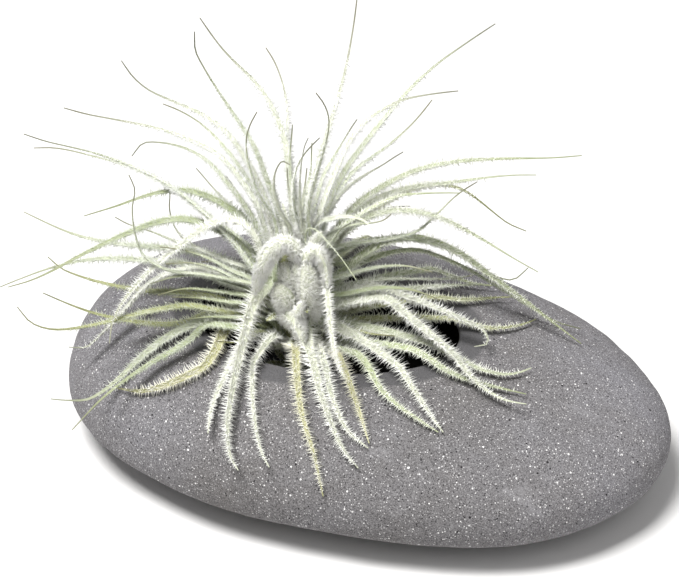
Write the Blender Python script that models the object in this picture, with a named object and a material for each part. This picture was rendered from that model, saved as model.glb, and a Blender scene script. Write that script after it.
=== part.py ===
"""Tectorum air plant: a rosette of furry, narrow, arching leaves on a short stem,
standing in the oval opening of a hollow stone pebble.
"""
import math

import bmesh
import bpy
import numpy as np

for item in list(bpy.data.objects):
    bpy.data.objects.remove(item, do_unlink=True)

MM = 0.001

# ---- stone: an egg-shaped pebble, millimetres, long axis on X, resting on z = 0
STONE_HALF_LENGTH = 80.8
STONE_HALF_WIDTH = 57.4
STONE_RISE = 28.0          # widest level to the crown
STONE_DROP = 14.7          # widest level to the lowest point before the flat
STONE_LEVEL = 13.7         # height of the widest level above the flat spot
STONE_EGG = -0.050         # width change along the length
STONE_SHOULDER = 0.115     # fullness of the two ends
STONE_LEAN = -0.25         # the crown is taller at the -X end
STONE_ROUND = 0.825
HOLE_CENTRE = (-8.5, -5.3)
HOLE_HALF = (33.7, 21.3)
HOLE_TURN = math.radians(12.0)

# ---- sight line from which the leaf traces were read
VIEW_AZ = math.radians(22.0)
VIEW_EL = math.radians(33.0)
VIEW_TARGET = (-18.98, 27.74, 25.0)
VIEW_DISTANCE = 780.0
VIEW_SCALE = 2890.0
VIEW_MID = (339.5, 293.0)

# ---- the short stem that carries the rosette
STEM_FOOT = (-14.2, -7.2, 9.2)
STEM_TOP = (-15.6, -12.0, 61.0)
STEM_RADIUS = 4.3
SHEATH_FOOT = 0.34         # share of the stem height where the first leaf sits
SHEATH_TOP = 0.97
LEAF_GAP = 0.55            # free space kept between any two leaves
HAIR_ROOM = 1.0            # height of a resting leaf above the stone


def sight_axes():
    a, e = VIEW_AZ, VIEW_EL
    back = np.array([math.sin(a) * math.cos(e), -math.cos(a) * math.cos(e), math.sin(e)])
    right = np.array([math.cos(a), math.sin(a), 0.0])
    up = np.cross(back, right)
    eye = np.array(VIEW_TARGET) + back * VIEW_DISTANCE
    return eye, right, up, back


EYE, RIGHT, UP, BACK = sight_axes()


def rays(uv):
    uv = np.atleast_2d(np.asarray(uv, float))
    return (-BACK[None, :] + RIGHT[None, :] * ((uv[:, 0] - VIEW_MID[0]) / VIEW_SCALE)[:, None]
            - UP[None, :] * ((uv[:, 1] - VIEW_MID[1]) / VIEW_SCALE)[:, None])


def on_sight(uv, depth):
    """Points seen at uv, at the given depths measured along the view axis."""
    return EYE[None, :] + rays(uv) * np.asarray(depth, float).reshape(-1, 1)


def depth_of(p):
    return -((np.atleast_2d(p) - EYE) @ BACK)


def seen_at(p):
    d = np.atleast_2d(p) - EYE
    z = -(d @ BACK)
    return np.stack([VIEW_MID[0] + VIEW_SCALE * (d @ RIGHT) / z,
                     VIEW_MID[1] - VIEW_SCALE * (d @ UP) / z], -1)


def stone_unit(x, y):
    """Plan position as a point of the unit disc."""
    X = np.clip(x / STONE_HALF_LENGTH, -1.5, 1.5)
    wide = 1 + STONE_EGG * X + STONE_SHOULDER * (X * X - 0.4)
    return X, y / (STONE_HALF_WIDTH * wide)


def stone_level(p):
    """Below 1 inside the pebble, 1 on its surface, above 1 outside it."""
    p = np.atleast_2d(p)
    X, Y = stone_unit(p[:, 0], p[:, 1])
    dz = p[:, 2] - STONE_LEVEL
    rise = np.where(dz > 0, STONE_RISE * (1 + STONE_LEAN * np.clip(X, -1, 1)), STONE_DROP)
    Z = (np.abs(dz) / rise) ** (1 / STONE_ROUND)
    return np.sqrt(X * X + Y * Y + Z * Z)


def stone_clearance(p):
    """Approximate distance from the pebble's surface, negative inside."""
    p = np.atleast_2d(p)
    f = stone_level(p)
    h = 0.5
    g = np.stack([(stone_level(p + h * np.eye(3)[i]) - stone_level(p - h * np.eye(3)[i])) / (2 * h)
                  for i in range(3)], -1)
    return (f - 1) / np.maximum(np.linalg.norm(g, axis=1), 1e-3)


def in_hole(p, shrink=0.0):
    p = np.atleast_2d(p)
    x, y = p[:, 0] - HOLE_CENTRE[0], p[:, 1] - HOLE_CENTRE[1]
    c, s = math.cos(HOLE_TURN), math.sin(HOLE_TURN)
    a, b = x * c + y * s, -x * s + y * c
    return (a / (HOLE_HALF[0] - shrink)) ** 2 + (b / (HOLE_HALF[1] - shrink)) ** 2


# name, look, width (mm), share of stem height, tip rule, tip value, trace from tip to heart
# tip rule "d": tip lies this far in front of the stem axis along the view, millimetres
# tip rule "h": tip lies this far above the stone where it is seen
LEAVES = [
 ("leaf_upper_01", "pale", 2.5, .62, "d", 8, ((24,134),(50,142.5),(80,149),(110,158),(140,170),(170,186),(200,210),(235,243))),
 ("leaf_upper_02", "pale", 2.2, .74, "d", -18, ((34,148),(60,148.5),(90,155.5),(120,163.5),(150,176),(180,194),(205,214),(240,240))),
 ("leaf_upper_03", "white", 2.7, .68, "d", 20, ((64,108),(90,115),(120,120.5),(160,129),(190,140),(220,156),(240,180),(262,215))),
 ("leaf_upper_04", "pale", 2.8, .64, "d", -8, ((132,156),(136,146),(150,142),(170,144),(190,150),(210,163),(225,181),(250,215))),
 ("leaf_upper_05", "white", 2.8, .84, "d", 12, ((121.5,61),(130,74),(150,91),(180,104),(200,113),(220,126),(240,150),(265,200))),
 ("leaf_upper_06", "pale", 2.4, .80, "d", -10, ((163,104),(180,111),(200,123),(220,142),(238,165),(252,187),(270,220))),
 ("leaf_upper_07", "pale", 2.6, .86, "d", 26, ((194.5,32),(194,47),(205,70),(220,94),(240,124),(257,152),(267,183),(284,225))),
 ("leaf_upper_08", "white", 3.0, .90, "d", 14, ((200,18),(220,46),(240,67),(260,87),(276,115),(286,145),(291,185),(296,222))),
 ("leaf_upper_09", "white", 2.3, .93, "d", -14, ((266,48),(275,63),(283,85),(287,110),(287,140),(290,175),(297,215))),
 ("leaf_upper_10", "pale", 2.2, .84, "d", 34, ((257,112),(248,130),(246.5,150),(251,172),(259,194),(276,225))),
 ("leaf_upper_11", "white", 2.6, .96, "d", 26, ((357,-1),(353,30),(345,72),(335,108),(325,142),(315,180),(306,220))),
 ("leaf_upper_12", "pale", 2.2, .94, "d", 40, ((316,93),(325,106),(329,124),(323,152),(315,180),(308,215))),
 ("leaf_upper_13", "pale", 2.0, .92, "d", 30, ((319.5,138),(306,152),(297,167),(293,186),(296,215))),
 ("leaf_upper_14", "pale", 2.4, .90, "d", -8, ((357,119.5),(350,130),(334,157),(324,174),(316,200),(308,228))),
 ("leaf_upper_15", "white", 3.0, .88, "d", 24, ((458,91),(430,94.5),(400,101),(370,118),(350,141),(337,170),(325,200),(313,232))),
 ("leaf_upper_16", "pale", 2.8, .84, "d", 8, ((495,24),(460,47.5),(430,70),(400,100),(370,137),(346,170),(330,200),(315,235))),
 ("leaf_upper_17", "pale", 2.3, .80, "d", -14, ((432,100),(415,121),(390,144),(355,170),(336,196),(318,232))),
 ("leaf_right_01", "green", 2.6, .72, "d", 2, ((581.5,155.5),(550,158),(500,159),(450,162.5),(405,175),(362,201),(325,238))),
 ("leaf_right_02", "pale", 2.5, .66, "d", -12, ((536,175),(502,176),(448,183),(405,189),(362,207),(325,245))),
 ("leaf_right_03", "green", 2.2, .74, "d", 16, ((459,193),(437,193),(416,194),(396,197),(365,212),(325,243))),
 ("leaf_right_04", "olive", 2.3, .60, "d", -26, ((526,231),(506,222),(474,197),(448,185),(410,190),(370,213),(325,250))),
 ("leaf_right_05", "pale", 2.6, .62, "d", 4, ((538,272),(513,258),(478,237),(444,219.5),(411,211),(375,214),(340,235),(318,258))),
 ("leaf_right_06", "green", 3.0, .50, "h", 1.2, ((581,343.5),(552,322),(526,302),(490,276),(455,251),(416,238),(385,242),(350,262),(320,280))),
 ("leaf_right_07", "green", 2.8, .42, "h", 2.0, ((500,286),(472,283.5),(446,274.5),(414,263.5),(381,264),(350,277),(320,295))),
 ("leaf_right_08", "pale", 2.7, .44, "h", 4.5, ((486,284.5),(441,286),(397,289.5),(365,290),(335,293),(315,298))),
 ("leaf_right_09", "white", 2.5, .56, "h", 3.0, ((474.5,346.5),(488,348.5),(492,339),(476,323),(446,306),(419,296),(386,289),(350,286),(318,288))),
 ("leaf_right_10", "olive", 2.5, .34, "h", 1.4, ((536,319),(519,326),(486,329),(441,327),(400,318),(360,311),(318,312))),
 ("leaf_right_11", "olive", 2.4, .38, "h", 1.6, ((512,297),(490,298),(455,302),(419,309),(380,307),(345,302),(315,306))),
 ("leaf_right_12", "white", 3.1, .54, "h", 4.0, ((526,404),(499,398),(472,378),(448,347),(423,320),(397,302),(365,294),(330,296))),
 ("leaf_right_13", "pale", 2.8, .40, "h", 1.4, ((531,368),(506,375.5),(477,368),(450,356),(419,342),(386,327),(350,314),(318,312))),
 ("leaf_right_14", "green", 2.7, .24, "h", 1.6, ((526,394),(499,388),(472,381),(437,368),(397,353),(360,337),(320,325))),
 ("leaf_front_01", "white", 3.1, .46, "h", 1.4, ((443,432),(430,414),(409,382),(387,350),(364,327),(340,315),(315,308))),
 ("leaf_front_02", "green", 2.9, .22, "h", 1.2, ((438,432),(416,418),(391,400),(369,375),(350,352),(332,336),(314,326))),
 ("leaf_front_03", "tan", 3.0, .14, "h", 1.4, ((369,443),(360,414),(350,386),(336,367),(322,350),(308,335))),
 ("leaf_front_04", "white", 3.4, .58, "h", 1.6, ((358,468),(341,446),(326,410),(315,374),(307,345),(298,320),(293,306))),
 ("leaf_front_05", "white", 2.6, .34, "h", 1.6, ((368,448),(347,430),(335,405),(324,375),(316,350),(309,330))),
 ("leaf_front_06", "white", 2.0, .84, "h", 14, ((344,377),(336,359),(331,329),(328,296),(325,268),(319,250),(312,247))),
 ("leaf_front_07", "tan", 3.1, .03, "h", 1.6, ((323,496),(314,455),(303,420),(296,388),(291,362),(288,345))),
 ("leaf_front_08", "white", 3.5, .80, "h", 4.5, ((238,470),(230,457),(227,425),(232,389),(242,345),(250,308),(262,270),(280,248),(296,244))),
 ("leaf_front_09", "white", 2.9, .30, "h", 4.0, ((208,433),(212,407),(225,377),(240,349),(255,328),(276,314))),
 ("leaf_front_10", "white", 2.2, .26, "h", 3.0, ((269,467),(260,448),(254,416),(252,380),(254,345),(266,325),(284,318))),
 ("leaf_left_01", "pale", 3.3, .38, "d", 4, ((51,399),(87,400),(113,384),(156,345),(195,323),(225,315),(262,308))),
 ("leaf_left_02", "green", 3.0, .26, "d", 9, ((72.5,429.5),(104,397),(145,367),(185,346),(220,333),(262,321))),
 ("leaf_left_03", "tan", 2.7, .04, "h", 1.3, ((117,388),(145,391),(178,380),(212,363),(236,357),(266,354))),
 ("leaf_left_04", "white", 2.9, .58, "h", 8.0, ((69,347),(80,351.5),(102,334),(121,314),(147,286),(173,273),(203,270),(235,281),(270,290))),
 ("leaf_left_05", "white", 1.9, .66, "h", 12.0, ((109.5,343),(113,321),(128,295),(152,269),(186,241),(215,222),(242,222),(275,255))),
 ("leaf_left_06", "green", 3.1, .54, "d", 10, ((8.5,287),(40,277),(80,256),(120,237),(160,222),(195,221),(235,240),(270,270))),
 ("leaf_left_07", "pale", 2.4, .48, "d", -14, ((0,287),(40,271.5),(80,261),(120,258.5),(148,261),(185,264),(225,275),(270,288))),
 ("leaf_left_08", "pale", 2.5, .56, "d", -20, ((24,212),(60,229),(90,239),(130,245.5),(165,248),(205,254),(240,266),(275,280))),
 ("leaf_left_09", "green", 2.7, .64, "d", -16, ((84,216),(120,205),(150,194.5),(180,190),(205,195),(235,212),(270,245))),
 ("leaf_left_10", "olive", 2.8, .32, "d", -10, ((48,257),(64,270),(100,282.5),(145,291),(184,293),(220,301),(265,306))),
 ("leaf_left_11", "olive", 2.6, .24, "d", 4, ((43,293),(60,300.5),(93,313),(130,321),(170,325),(215,320),(266,316))),
 ("leaf_left_12", "olive", 2.8, .28, "d", 14, ((17.5,307),(33,324),(60,330),(104,323),(152,311),(195,306),(230,309),(266,311))),
 ("leaf_back_01", "pale", 2.8, .50, "d", -66, ((262,196),(268,212),(278,236),(289,262))),
 ("leaf_back_02", "green", 2.8, .44, "d", -64, ((330,200),(326,214),(319,240),(309,266))),
 ("leaf_back_03", "olive", 2.8, .24, "d", -46, ((232,236),(246,246),(264,264),(284,286))),
 ("leaf_back_04", "olive", 2.8, .34, "d", -60, ((370,236),(354,244),(334,262),(312,284))),
]

STATIONS = 15


def smooth_curve(ctrl, n):
    """Centripetal-style interpolating spline resampled to n points of even spacing."""
    c = np.asarray(ctrl, float)
    ext = np.vstack([2 * c[0] - c[1], c, 2 * c[-1] - c[-2]])
    out = []
    for i in range(1, len(ext) - 2):
        p0, p1, p2, p3 = ext[i - 1:i + 3]
        for t in np.linspace(0, 1, 14, endpoint=False):
            out.append(0.5 * ((2 * p1) + (-p0 + p2) * t + (2 * p0 - 5 * p1 + 4 * p2 - p3) * t * t
                              + (-p0 + 3 * p1 - 3 * p2 + p3) * t ** 3))
    out.append(c[-1])
    out = np.array(out)
    seg = np.r_[0, np.cumsum(np.linalg.norm(np.diff(out, axis=0), axis=1))]
    want = np.linspace(0, seg[-1], n)
    return np.stack([np.interp(want, seg, out[:, k]) for k in range(out.shape[1])], -1)


def stem_point(t):
    a, b = np.array(STEM_FOOT), np.array(STEM_TOP)
    return a + (b - a) * t


def tip_depth(uv, rule, value):
    near = float(depth_of(stem_point(0.75))[0])
    if rule == "d":
        return near - value
    lo, hi = near - 160.0, near + 60.0
    span = np.linspace(lo, hi, 441)
    pts = on_sight(np.repeat([uv], len(span), 0), span)
    clear = stone_clearance(pts)
    hit = np.where(clear < value)[0]
    if len(hit) == 0:
        return near
    return span[hit[0]]


def half_width(s, width):
    """Half of the blade's breadth at share s of its length."""
    s = np.asarray(s, float)
    sheath = 1.0 - 0.34 * np.exp(-(s / 0.13) ** 2)
    taper = (1 - s) ** 0.62 * 0.92 + 0.08
    return np.maximum(0.5 * width * sheath * taper, 0.28)


def half_thick(s, width):
    s = np.asarray(s, float)
    return np.maximum(0.5 * (0.30 + 0.34 * (1 - s) ** 0.7) * (0.7 + 0.12 * width), 0.24)


def stem_axis():
    axis = np.array(STEM_TOP) - np.array(STEM_FOOT)
    return axis / np.linalg.norm(axis)


def first_midlines():
    """Leaf midlines from root to tip, laid on the sight lines of their traces."""
    axis = stem_axis()
    lines = []
    for name, look, width, share, rule, value, trace in LEAVES:
        t = SHEATH_FOOT + (SHEATH_TOP - SHEATH_FOOT) * share
        root = stem_point(t)
        uv = np.array(trace[::-1], float)
        d_tip = tip_depth(uv[-1], rule, value)
        d0 = float(depth_of(root)[0])
        full = np.vstack([seen_at(root), uv])
        seg = np.r_[0, np.cumsum(np.linalg.norm(np.diff(full, axis=0), axis=1))]
        g = (seg / seg[-1])[1:]
        pts = on_sight(uv, d0 + (d_tip - d0) * g)
        out = pts[min(1, len(pts) - 1)] - root
        rad = out - axis * (out @ axis)
        rad /= max(np.linalg.norm(rad), 1e-6)
        start = root + rad * (STEM_RADIUS + 1.3)
        keep = [p for p in pts
                if np.linalg.norm((p - root) - axis * ((p - root) @ axis)) > STEM_RADIUS + 2.4
                or (p - np.array(STEM_TOP)) @ axis > 2.5]
        lines.append(smooth_curve(np.vstack([start] + keep), STATIONS))
    return np.array(lines)


def settle(lines, rounds=420):
    """Move the midlines apart, mostly along the sight lines, until each has room."""
    L, M, _ = lines.shape
    s = np.linspace(0, 1, M)
    wid = np.array([row[2] for row in LEAVES])
    hw = np.stack([half_width(s, w) for w in wid])
    ht = np.stack([half_thick(s, w) for w in wid])
    rad = np.maximum(0.97 * hw, ht)
    P = lines.copy()
    n = 2 * M - 1
    S = np.zeros((n, M))
    for k in range(n):
        j = k // 2
        if k % 2 == 0:
            S[k, j] = 1.0
        else:
            S[k, j] = S[k, j + 1] = 0.5
    norm = S.sum(0)
    own = np.repeat(np.arange(L), n)
    R = (rad @ S.T).reshape(-1)
    view = rays(seen_at(P.reshape(-1, 3)))
    view /= np.linalg.norm(view, axis=1, keepdims=True)
    view = view.reshape(L, M, 3)
    near_root = np.repeat(np.exp(-(s / 0.11) ** 2)[None, :, None], L, 0)
    free = near_root
    low = stem_point(0.0)
    axis = stem_axis()
    length = np.linalg.norm(np.array(STEM_TOP) - low)
    pairs = None
    worst = 0.0
    for it in range(rounds):
        q = np.einsum("km,lmc->lkc", S, P).reshape(-1, 3)
        if it % 30 == 29 and it < rounds - 60:
            P = np.array([resample(line, M) for line in P])
            view = rays(seen_at(P.reshape(-1, 3)))
            view /= np.linalg.norm(view, axis=1, keepdims=True)
            view = view.reshape(L, M, 3)
            q = np.einsum("km,lmc->lkc", S, P).reshape(-1, 3)
        if it % 12 == 0 or it % 30 == 29:
            low_in = (in_hole(P.reshape(-1, 3)) < 1.25) & (P.reshape(-1, 3)[:, 2] < 50.0)
            free = np.maximum(near_root, 0.6 * low_in.reshape(L, M, 1))
            sq = (q * q).sum(1)
            d2 = sq[:, None] + sq[None, :] - 2 * q @ q.T
            lim = R[:, None] + R[None, :] + LEAF_GAP + 2.2
            mask = (d2 < lim * lim) & (own[:, None] < own[None, :])
            pairs = np.nonzero(mask)
        i, j = pairs
        d = q[i] - q[j]
        dist = np.sqrt((d * d).sum(1)) + 1e-9
        short = R[i] + R[j] + LEAF_GAP - dist
        bad = short > 0
        worst = float(short.max()) if len(short) else 0.0
        if bad.any():
            i, j, d, dist, short = i[bad], j[bad], d[bad], dist[bad], short[bad]
            vq = np.einsum("km,lmc->lkc", S, view).reshape(-1, 3)
            fq = np.einsum("km,lm->lk", S, free[:, :, 0]).reshape(-1)
            unit = d / dist[:, None]
            vm = vq[i] + vq[j]
            vm /= np.linalg.norm(vm, axis=1, keepdims=True)
            side = np.sign((unit * vm).sum(1))
            side[side == 0] = 1
            f = (0.5 * (fq[i] + fq[j]))[:, None]
            cosang = np.abs((unit * vm).sum(1))
            along = vm * (side * np.minimum(short / np.maximum(cosang, 0.35), 2.0))[:, None]
            mv = (unit * short[:, None] * f + along * (1 - f)) * 0.5
            acc = np.zeros_like(q)
            cnt = np.zeros(len(q))
            np.add.at(acc, i, mv)
            np.add.at(acc, j, -mv)
            np.add.at(cnt, i, 1)
            np.add.at(cnt, j, 1)
            acc /= np.maximum(cnt, 1)[:, None] ** 0.7
            acc = np.einsum("km,lkc->lmc", S, acc.reshape(L, n, 3)) / norm[None, :, None]
            for _ in range(2):
                pad = np.pad(acc, ((0, 0), (1, 1), (0, 0)), mode="edge")
                acc = acc * 0.5 + 0.25 * (pad[:, :-2] + pad[:, 2:])
            P = P + acc * 1.5
        flat = P.reshape(-1, 3)
        clear = stone_clearance(flat)
        inward = np.maximum((1 - np.sqrt(in_hole(flat))) * 20.0 - 2.6, 0)
        lift = np.clip(rad.reshape(-1) + HAIR_ROOM - 1.3 * inward - clear, 0, 3.0)
        lift = lift * (1 - near_root[:, :, 0] ** 0.5).reshape(-1)
        low_z = np.where(inward > 0, np.maximum(29.0 - flat[:, 2], 0), 0)
        inside = (in_hole(flat) < 1.0)[:, None]
        flat = flat + np.where(inside, [0.0, 0.0, 1.0], -view.reshape(-1, 3)) * (lift * 0.9)[:, None]
        flat[:, 2] += 0.3 * low_z
        P = flat.reshape(L, M, 3)
        rel = P - low
        al = rel @ axis
        rv = rel - al[..., None] * axis
        rr = np.linalg.norm(rv, axis=-1)
        lim = np.where((al < length) & (al > -3), STEM_RADIUS + 0.45 + hw * 0.6, 0)
        out = np.maximum(lim - rr, 0)
        out[:, 0] = STEM_RADIUS + 0.85 + ht[:, 0] - rr[:, 0]
        P = P + rv / np.maximum(rr, 1e-6)[..., None] * out[..., None]
        P[:, 0] += (np.clip(al[:, 0], SHEATH_FOOT * length, length) - al[:, 0])[:, None] * axis
        if it % 3 == 0 and it < rounds - 9:
            bend = 0.5 * (P[:, :-2] + P[:, 2:]) - P[:, 1:-1]
            part = (bend * view[:, 1:-1]).sum(-1, keepdims=True) * view[:, 1:-1]
            fr = free[:, 1:-1]
            P[:, 1:-1] += 0.22 * (part * (1 - fr) + bend * fr)
    return P, rad, worst


def leaf_frames(line):
    """Tangent, breadth and face directions carried along a midline without twist."""
    T = np.gradient(line, axis=0)
    T /= np.linalg.norm(T, axis=1, keepdims=True)
    axis = stem_axis()
    rel = line[0] - stem_point(0.0)
    rad = rel - axis * (rel @ axis)
    rad /= np.linalg.norm(rad)
    face = np.array([0, 0, 1.0]) - 0.8 * rad
    N = np.zeros_like(line)
    n = face - T[0] * (face @ T[0])
    n /= np.linalg.norm(n)
    for i in range(len(line)):
        n = n - T[i] * (n @ T[i])
        n /= np.linalg.norm(n)
        N[i] = n
    return T, np.cross(T, N), N


def resample(line, n):
    seg = np.r_[0, np.cumsum(np.linalg.norm(np.diff(line, axis=0), axis=1))]
    want = np.linspace(0, seg[-1], n)
    return np.stack([np.interp(want, seg, line[:, k]) for k in range(3)], -1)


# ---- body helpers
WALL = 5.0                 # thickness of the stone shell, millimetres
LIP = 1.7                  # radius of the eased edge round the opening
RING_POINTS = 48
OUTER_RINGS = 17
INNER_RINGS = 9
LEAF_RINGS = 12
TONES = {
    "stone": (0.235, 0.228, 0.236),
    "white": (0.80, 0.82, 0.76),
    "pale": (0.68, 0.72, 0.60),
    "green": (0.50, 0.57, 0.36),
    "olive": (0.42, 0.46, 0.22),
    "tan": (0.66, 0.60, 0.36),
    "stem": (0.36, 0.40, 0.20),
}


def material(name, tone, rough):
    mat = bpy.data.materials.new(name)
    mat.use_nodes = True
    node = mat.node_tree.nodes["Principled BSDF"]
    node.inputs["Base Color"].default_value = (*TONES[tone], 1.0)
    node.inputs["Roughness"].default_value = rough
    return mat


group = bpy.data.collections.new("tectorum_air_plant")
bpy.context.scene.collection.children.link(group)


def add_body(name, bm, mat):
    for vert in bm.verts:
        vert.co *= MM
    bmesh.ops.recalc_face_normals(bm, faces=bm.faces[:])
    if bm.calc_volume(signed=True) < 0:
        bmesh.ops.reverse_faces(bm, faces=bm.faces[:])
    mesh = bpy.data.meshes.new(name)
    bm.to_mesh(mesh)
    bm.free()
    mesh.materials.append(mat)
    obj = bpy.data.objects.new(name, mesh)
    group.objects.link(obj)
    return obj


# ---- the stone: one skin from the flat spot, up over the shoulder, across the
# lip and down the inside wall to the cavity floor
def stone_top(x, y):
    X, Y = stone_unit(np.asarray(x, float), np.asarray(y, float))
    r = np.maximum(1 - X * X - Y * Y, 0)
    return STONE_LEVEL + STONE_RISE * (1 + STONE_LEAN * X) * np.sqrt(r) ** STONE_ROUND


def hole_point(angle, grow=0.0):
    """Plan point on the opening's oval; the oval is kept in step with the stone's outline."""
    c, s = math.cos(HOLE_TURN), math.sin(HOLE_TURN)
    a = (HOLE_HALF[0] + grow) * math.cos(angle)
    b = (HOLE_HALF[1] + grow) * math.sin(angle)
    return HOLE_CENTRE[0] + a * c - b * s, HOLE_CENTRE[1] + a * s + b * c


def equator_point(angle, part=1.0):
    X = math.cos(angle) * part
    wide = 1 + STONE_EGG * X + STONE_SHOULDER * (X * X - 0.4)
    return STONE_HALF_LENGTH * X, STONE_HALF_WIDTH * wide * math.sin(angle) * part


def outer_low(angle, climb):
    """Skin between the flat spot (climb 0) and the widest level (climb 1)."""
    flat = math.sqrt(1 - (STONE_LEVEL / STONE_DROP) ** (2 / STONE_ROUND))
    edge = math.acos(flat)
    lift = edge * (1 - climb)
    x, y = equator_point(angle, math.cos(lift))
    z = STONE_LEVEL - STONE_DROP * math.sin(lift) ** STONE_ROUND
    return x, y, max(z, 0.0)


def outer_high(angle, climb):
    """Skin between the widest level (climb 0) and the opening (climb 1)."""
    m = 1 - math.cos(climb * math.pi / 2)
    ex, ey = equator_point(angle)
    hx, hy = hole_point(angle - HOLE_TURN, LIP)
    x, y = ex + (hx - ex) * m, ey + (hy - ey) * m
    return x, y, float(stone_top(x, y))


def lip_point(angle, roll):
    hx, hy = hole_point(angle - HOLE_TURN, LIP)
    ix, iy = hole_point(angle - HOLE_TURN)
    top = float(stone_top(hx, hy))
    turn = roll * math.pi / 2
    k = math.sin(turn)
    return hx + (ix - hx) * k, hy + (iy - hy) * k, top - LIP * (1 - math.cos(turn))


def inner_point(angle, fall):
    """Cavity wall and floor, one wall thickness inside the outer skin."""
    ix, iy = hole_point(angle - HOLE_TURN)
    top = float(stone_top(*hole_point(angle - HOLE_TURN, LIP))) - LIP
    ex, ey = equator_point(angle, 1 - 1.5 * WALL / STONE_HALF_WIDTH)
    cx, cy = HOLE_CENTRE[0] * 0.5, HOLE_CENTRE[1] * 0.5
    floor = WALL + 1.0
    # the wall leans out under the shoulder, then turns in to the floor
    turn = fall * math.pi / 2
    belly = 0.66 * math.sin(min(fall * 2.1, 1.0) * math.pi / 2)
    gather = (1 - math.cos(turn)) ** 1.6
    x = (ix + (ex - ix) * belly) * (1 - gather) + cx * gather
    y = (iy + (ey - iy) * belly) * (1 - gather) + cy * gather
    z = floor + (top - floor) * (1 - math.sin(turn))
    return x, y, z


def stone_shell():
    profile = [("low", 0.0)] + [("low", (k + 1) / 5) for k in range(5)]
    profile += [("high", (k + 1) / 9) for k in range(9)]
    profile += [("lip", 0.34), ("lip", 0.67), ("lip", 1.0)]
    profile += [("in", (k + 1) / 9) for k in range(8)]
    bm = bmesh.new()
    bmesh.ops.create_uvsphere(bm, u_segments=RING_POINTS, v_segments=len(profile) + 1, radius=1.0)
    make = {"low": outer_low, "high": outer_high, "lip": lip_point, "in": inner_point}
    steps = len(profile) + 1
    for vert in bm.verts:
        x, y, z = vert.co
        polar = math.acos(max(-1.0, min(1.0, -z))) / math.pi * steps
        k = int(round(polar))
        angle = math.atan2(y, x)
        if k == 0:
            vert.co = (0.0, 0.0, 0.0)
        elif k == steps:
            vert.co = (HOLE_CENTRE[0] * 0.5, HOLE_CENTRE[1] * 0.5, WALL + 1.0)
        else:
            kind, value = profile[k - 1]
            vert.co = make[kind](angle, value)
    return bm


stone_mat = material("speckled_stone", "stone", 0.86)
add_body("stone_planter", stone_shell(), stone_mat)


# ---- the stem: a stout spindle with a pointed bud on top
def stem_body():
    axis = stem_axis()
    length = float(np.linalg.norm(np.array(STEM_TOP) - np.array(STEM_FOOT)))
    side = np.cross(axis, [0.0, 1.0, 0.0])
    side /= np.linalg.norm(side)
    other = np.cross(axis, side)
    bm = bmesh.new()
    bmesh.ops.create_uvsphere(bm, u_segments=14, v_segments=14, radius=1.0)
    bud = 5.0
    for vert in bm.verts:
        x, y, z = vert.co
        turn = math.acos(max(-1.0, min(1.0, -z))) / math.pi
        along = -2.3 + (length + bud + 2.3) * turn
        if along < length - 2:
            r = STEM_RADIUS * min(1.0, 0.55 + 0.9 * turn)
        else:
            r = STEM_RADIUS * max(0.0, (length + bud - along) / (bud + 2.0)) ** 0.7
        w = math.hypot(x, y)
        if w > 1e-6:
            x, y = x / w * r, y / w * r
        if turn < 1e-3 or turn > 0.999:
            x = y = 0.0
        p = np.array(STEM_FOOT) + axis * along + side * x + other * y
        vert.co = p
    return bm


stem_mat = material("stem_green", "stem", 0.8)
add_body("stem", stem_body(), stem_mat)


# ---- the leaves
def leaf_body(line, width):
    line = resample(line, LEAF_RINGS)
    T, B, N = leaf_frames(line)
    s = np.linspace(0, 1, LEAF_RINGS)
    hw, ht = half_width(s, width), half_thick(s, width)
    bm = bmesh.new()
    bmesh.ops.create_cone(bm, cap_ends=True, cap_tris=False, segments=6,
                          radius1=1.0, radius2=1.0, depth=float(LEAF_RINGS - 1))
    half = (LEAF_RINGS - 1) / 2
    for k in range(1, LEAF_RINGS - 1):
        bmesh.ops.bisect_plane(bm, geom=bm.verts[:] + bm.edges[:] + bm.faces[:],
                               plane_co=(0, 0, k - half), plane_no=(0, 0, 1), dist=1e-6)
    for vert in bm.verts:
        x, y, z = vert.co
        k = int(round(z + half))
        a = math.atan2(y, x) - math.pi / 6
        step = round(math.degrees(a) / 60) * 60
        cx, cy = math.cos(math.radians(step)), math.sin(math.radians(step))
        p = line[k] + B[k] * cx * hw[k] + N[k] * cy * ht[k]
        vert.co = p
    return bm


settled, room, worst_gap = settle(first_midlines())
for row, line in zip(LEAVES, settled):
    leaf_mat = material(row[0] + "_" + row[1], row[1], 0.9)
    add_body(row[0], leaf_body(line, row[2]), leaf_mat)
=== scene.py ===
"""Looks of the tectorum air plant in its stone pebble: furred leaves, speckled stone,
a white studio floor and the camera.
"""
import math

import bpy
import numpy as np
from mathutils import Matrix, Vector


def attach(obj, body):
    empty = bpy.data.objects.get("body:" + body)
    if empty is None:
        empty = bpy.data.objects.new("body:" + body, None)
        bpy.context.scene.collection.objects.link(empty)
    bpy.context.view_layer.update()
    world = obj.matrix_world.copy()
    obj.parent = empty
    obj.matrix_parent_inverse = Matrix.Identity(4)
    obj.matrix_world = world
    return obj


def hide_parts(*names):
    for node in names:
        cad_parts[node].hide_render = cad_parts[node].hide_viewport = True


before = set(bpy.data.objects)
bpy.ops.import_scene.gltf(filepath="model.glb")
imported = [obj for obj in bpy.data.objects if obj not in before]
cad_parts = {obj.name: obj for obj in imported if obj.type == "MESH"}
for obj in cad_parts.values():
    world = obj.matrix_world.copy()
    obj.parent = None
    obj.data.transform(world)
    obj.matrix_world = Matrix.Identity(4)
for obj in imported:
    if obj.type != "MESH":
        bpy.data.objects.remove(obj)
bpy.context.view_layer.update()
MM = 0.001

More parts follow.
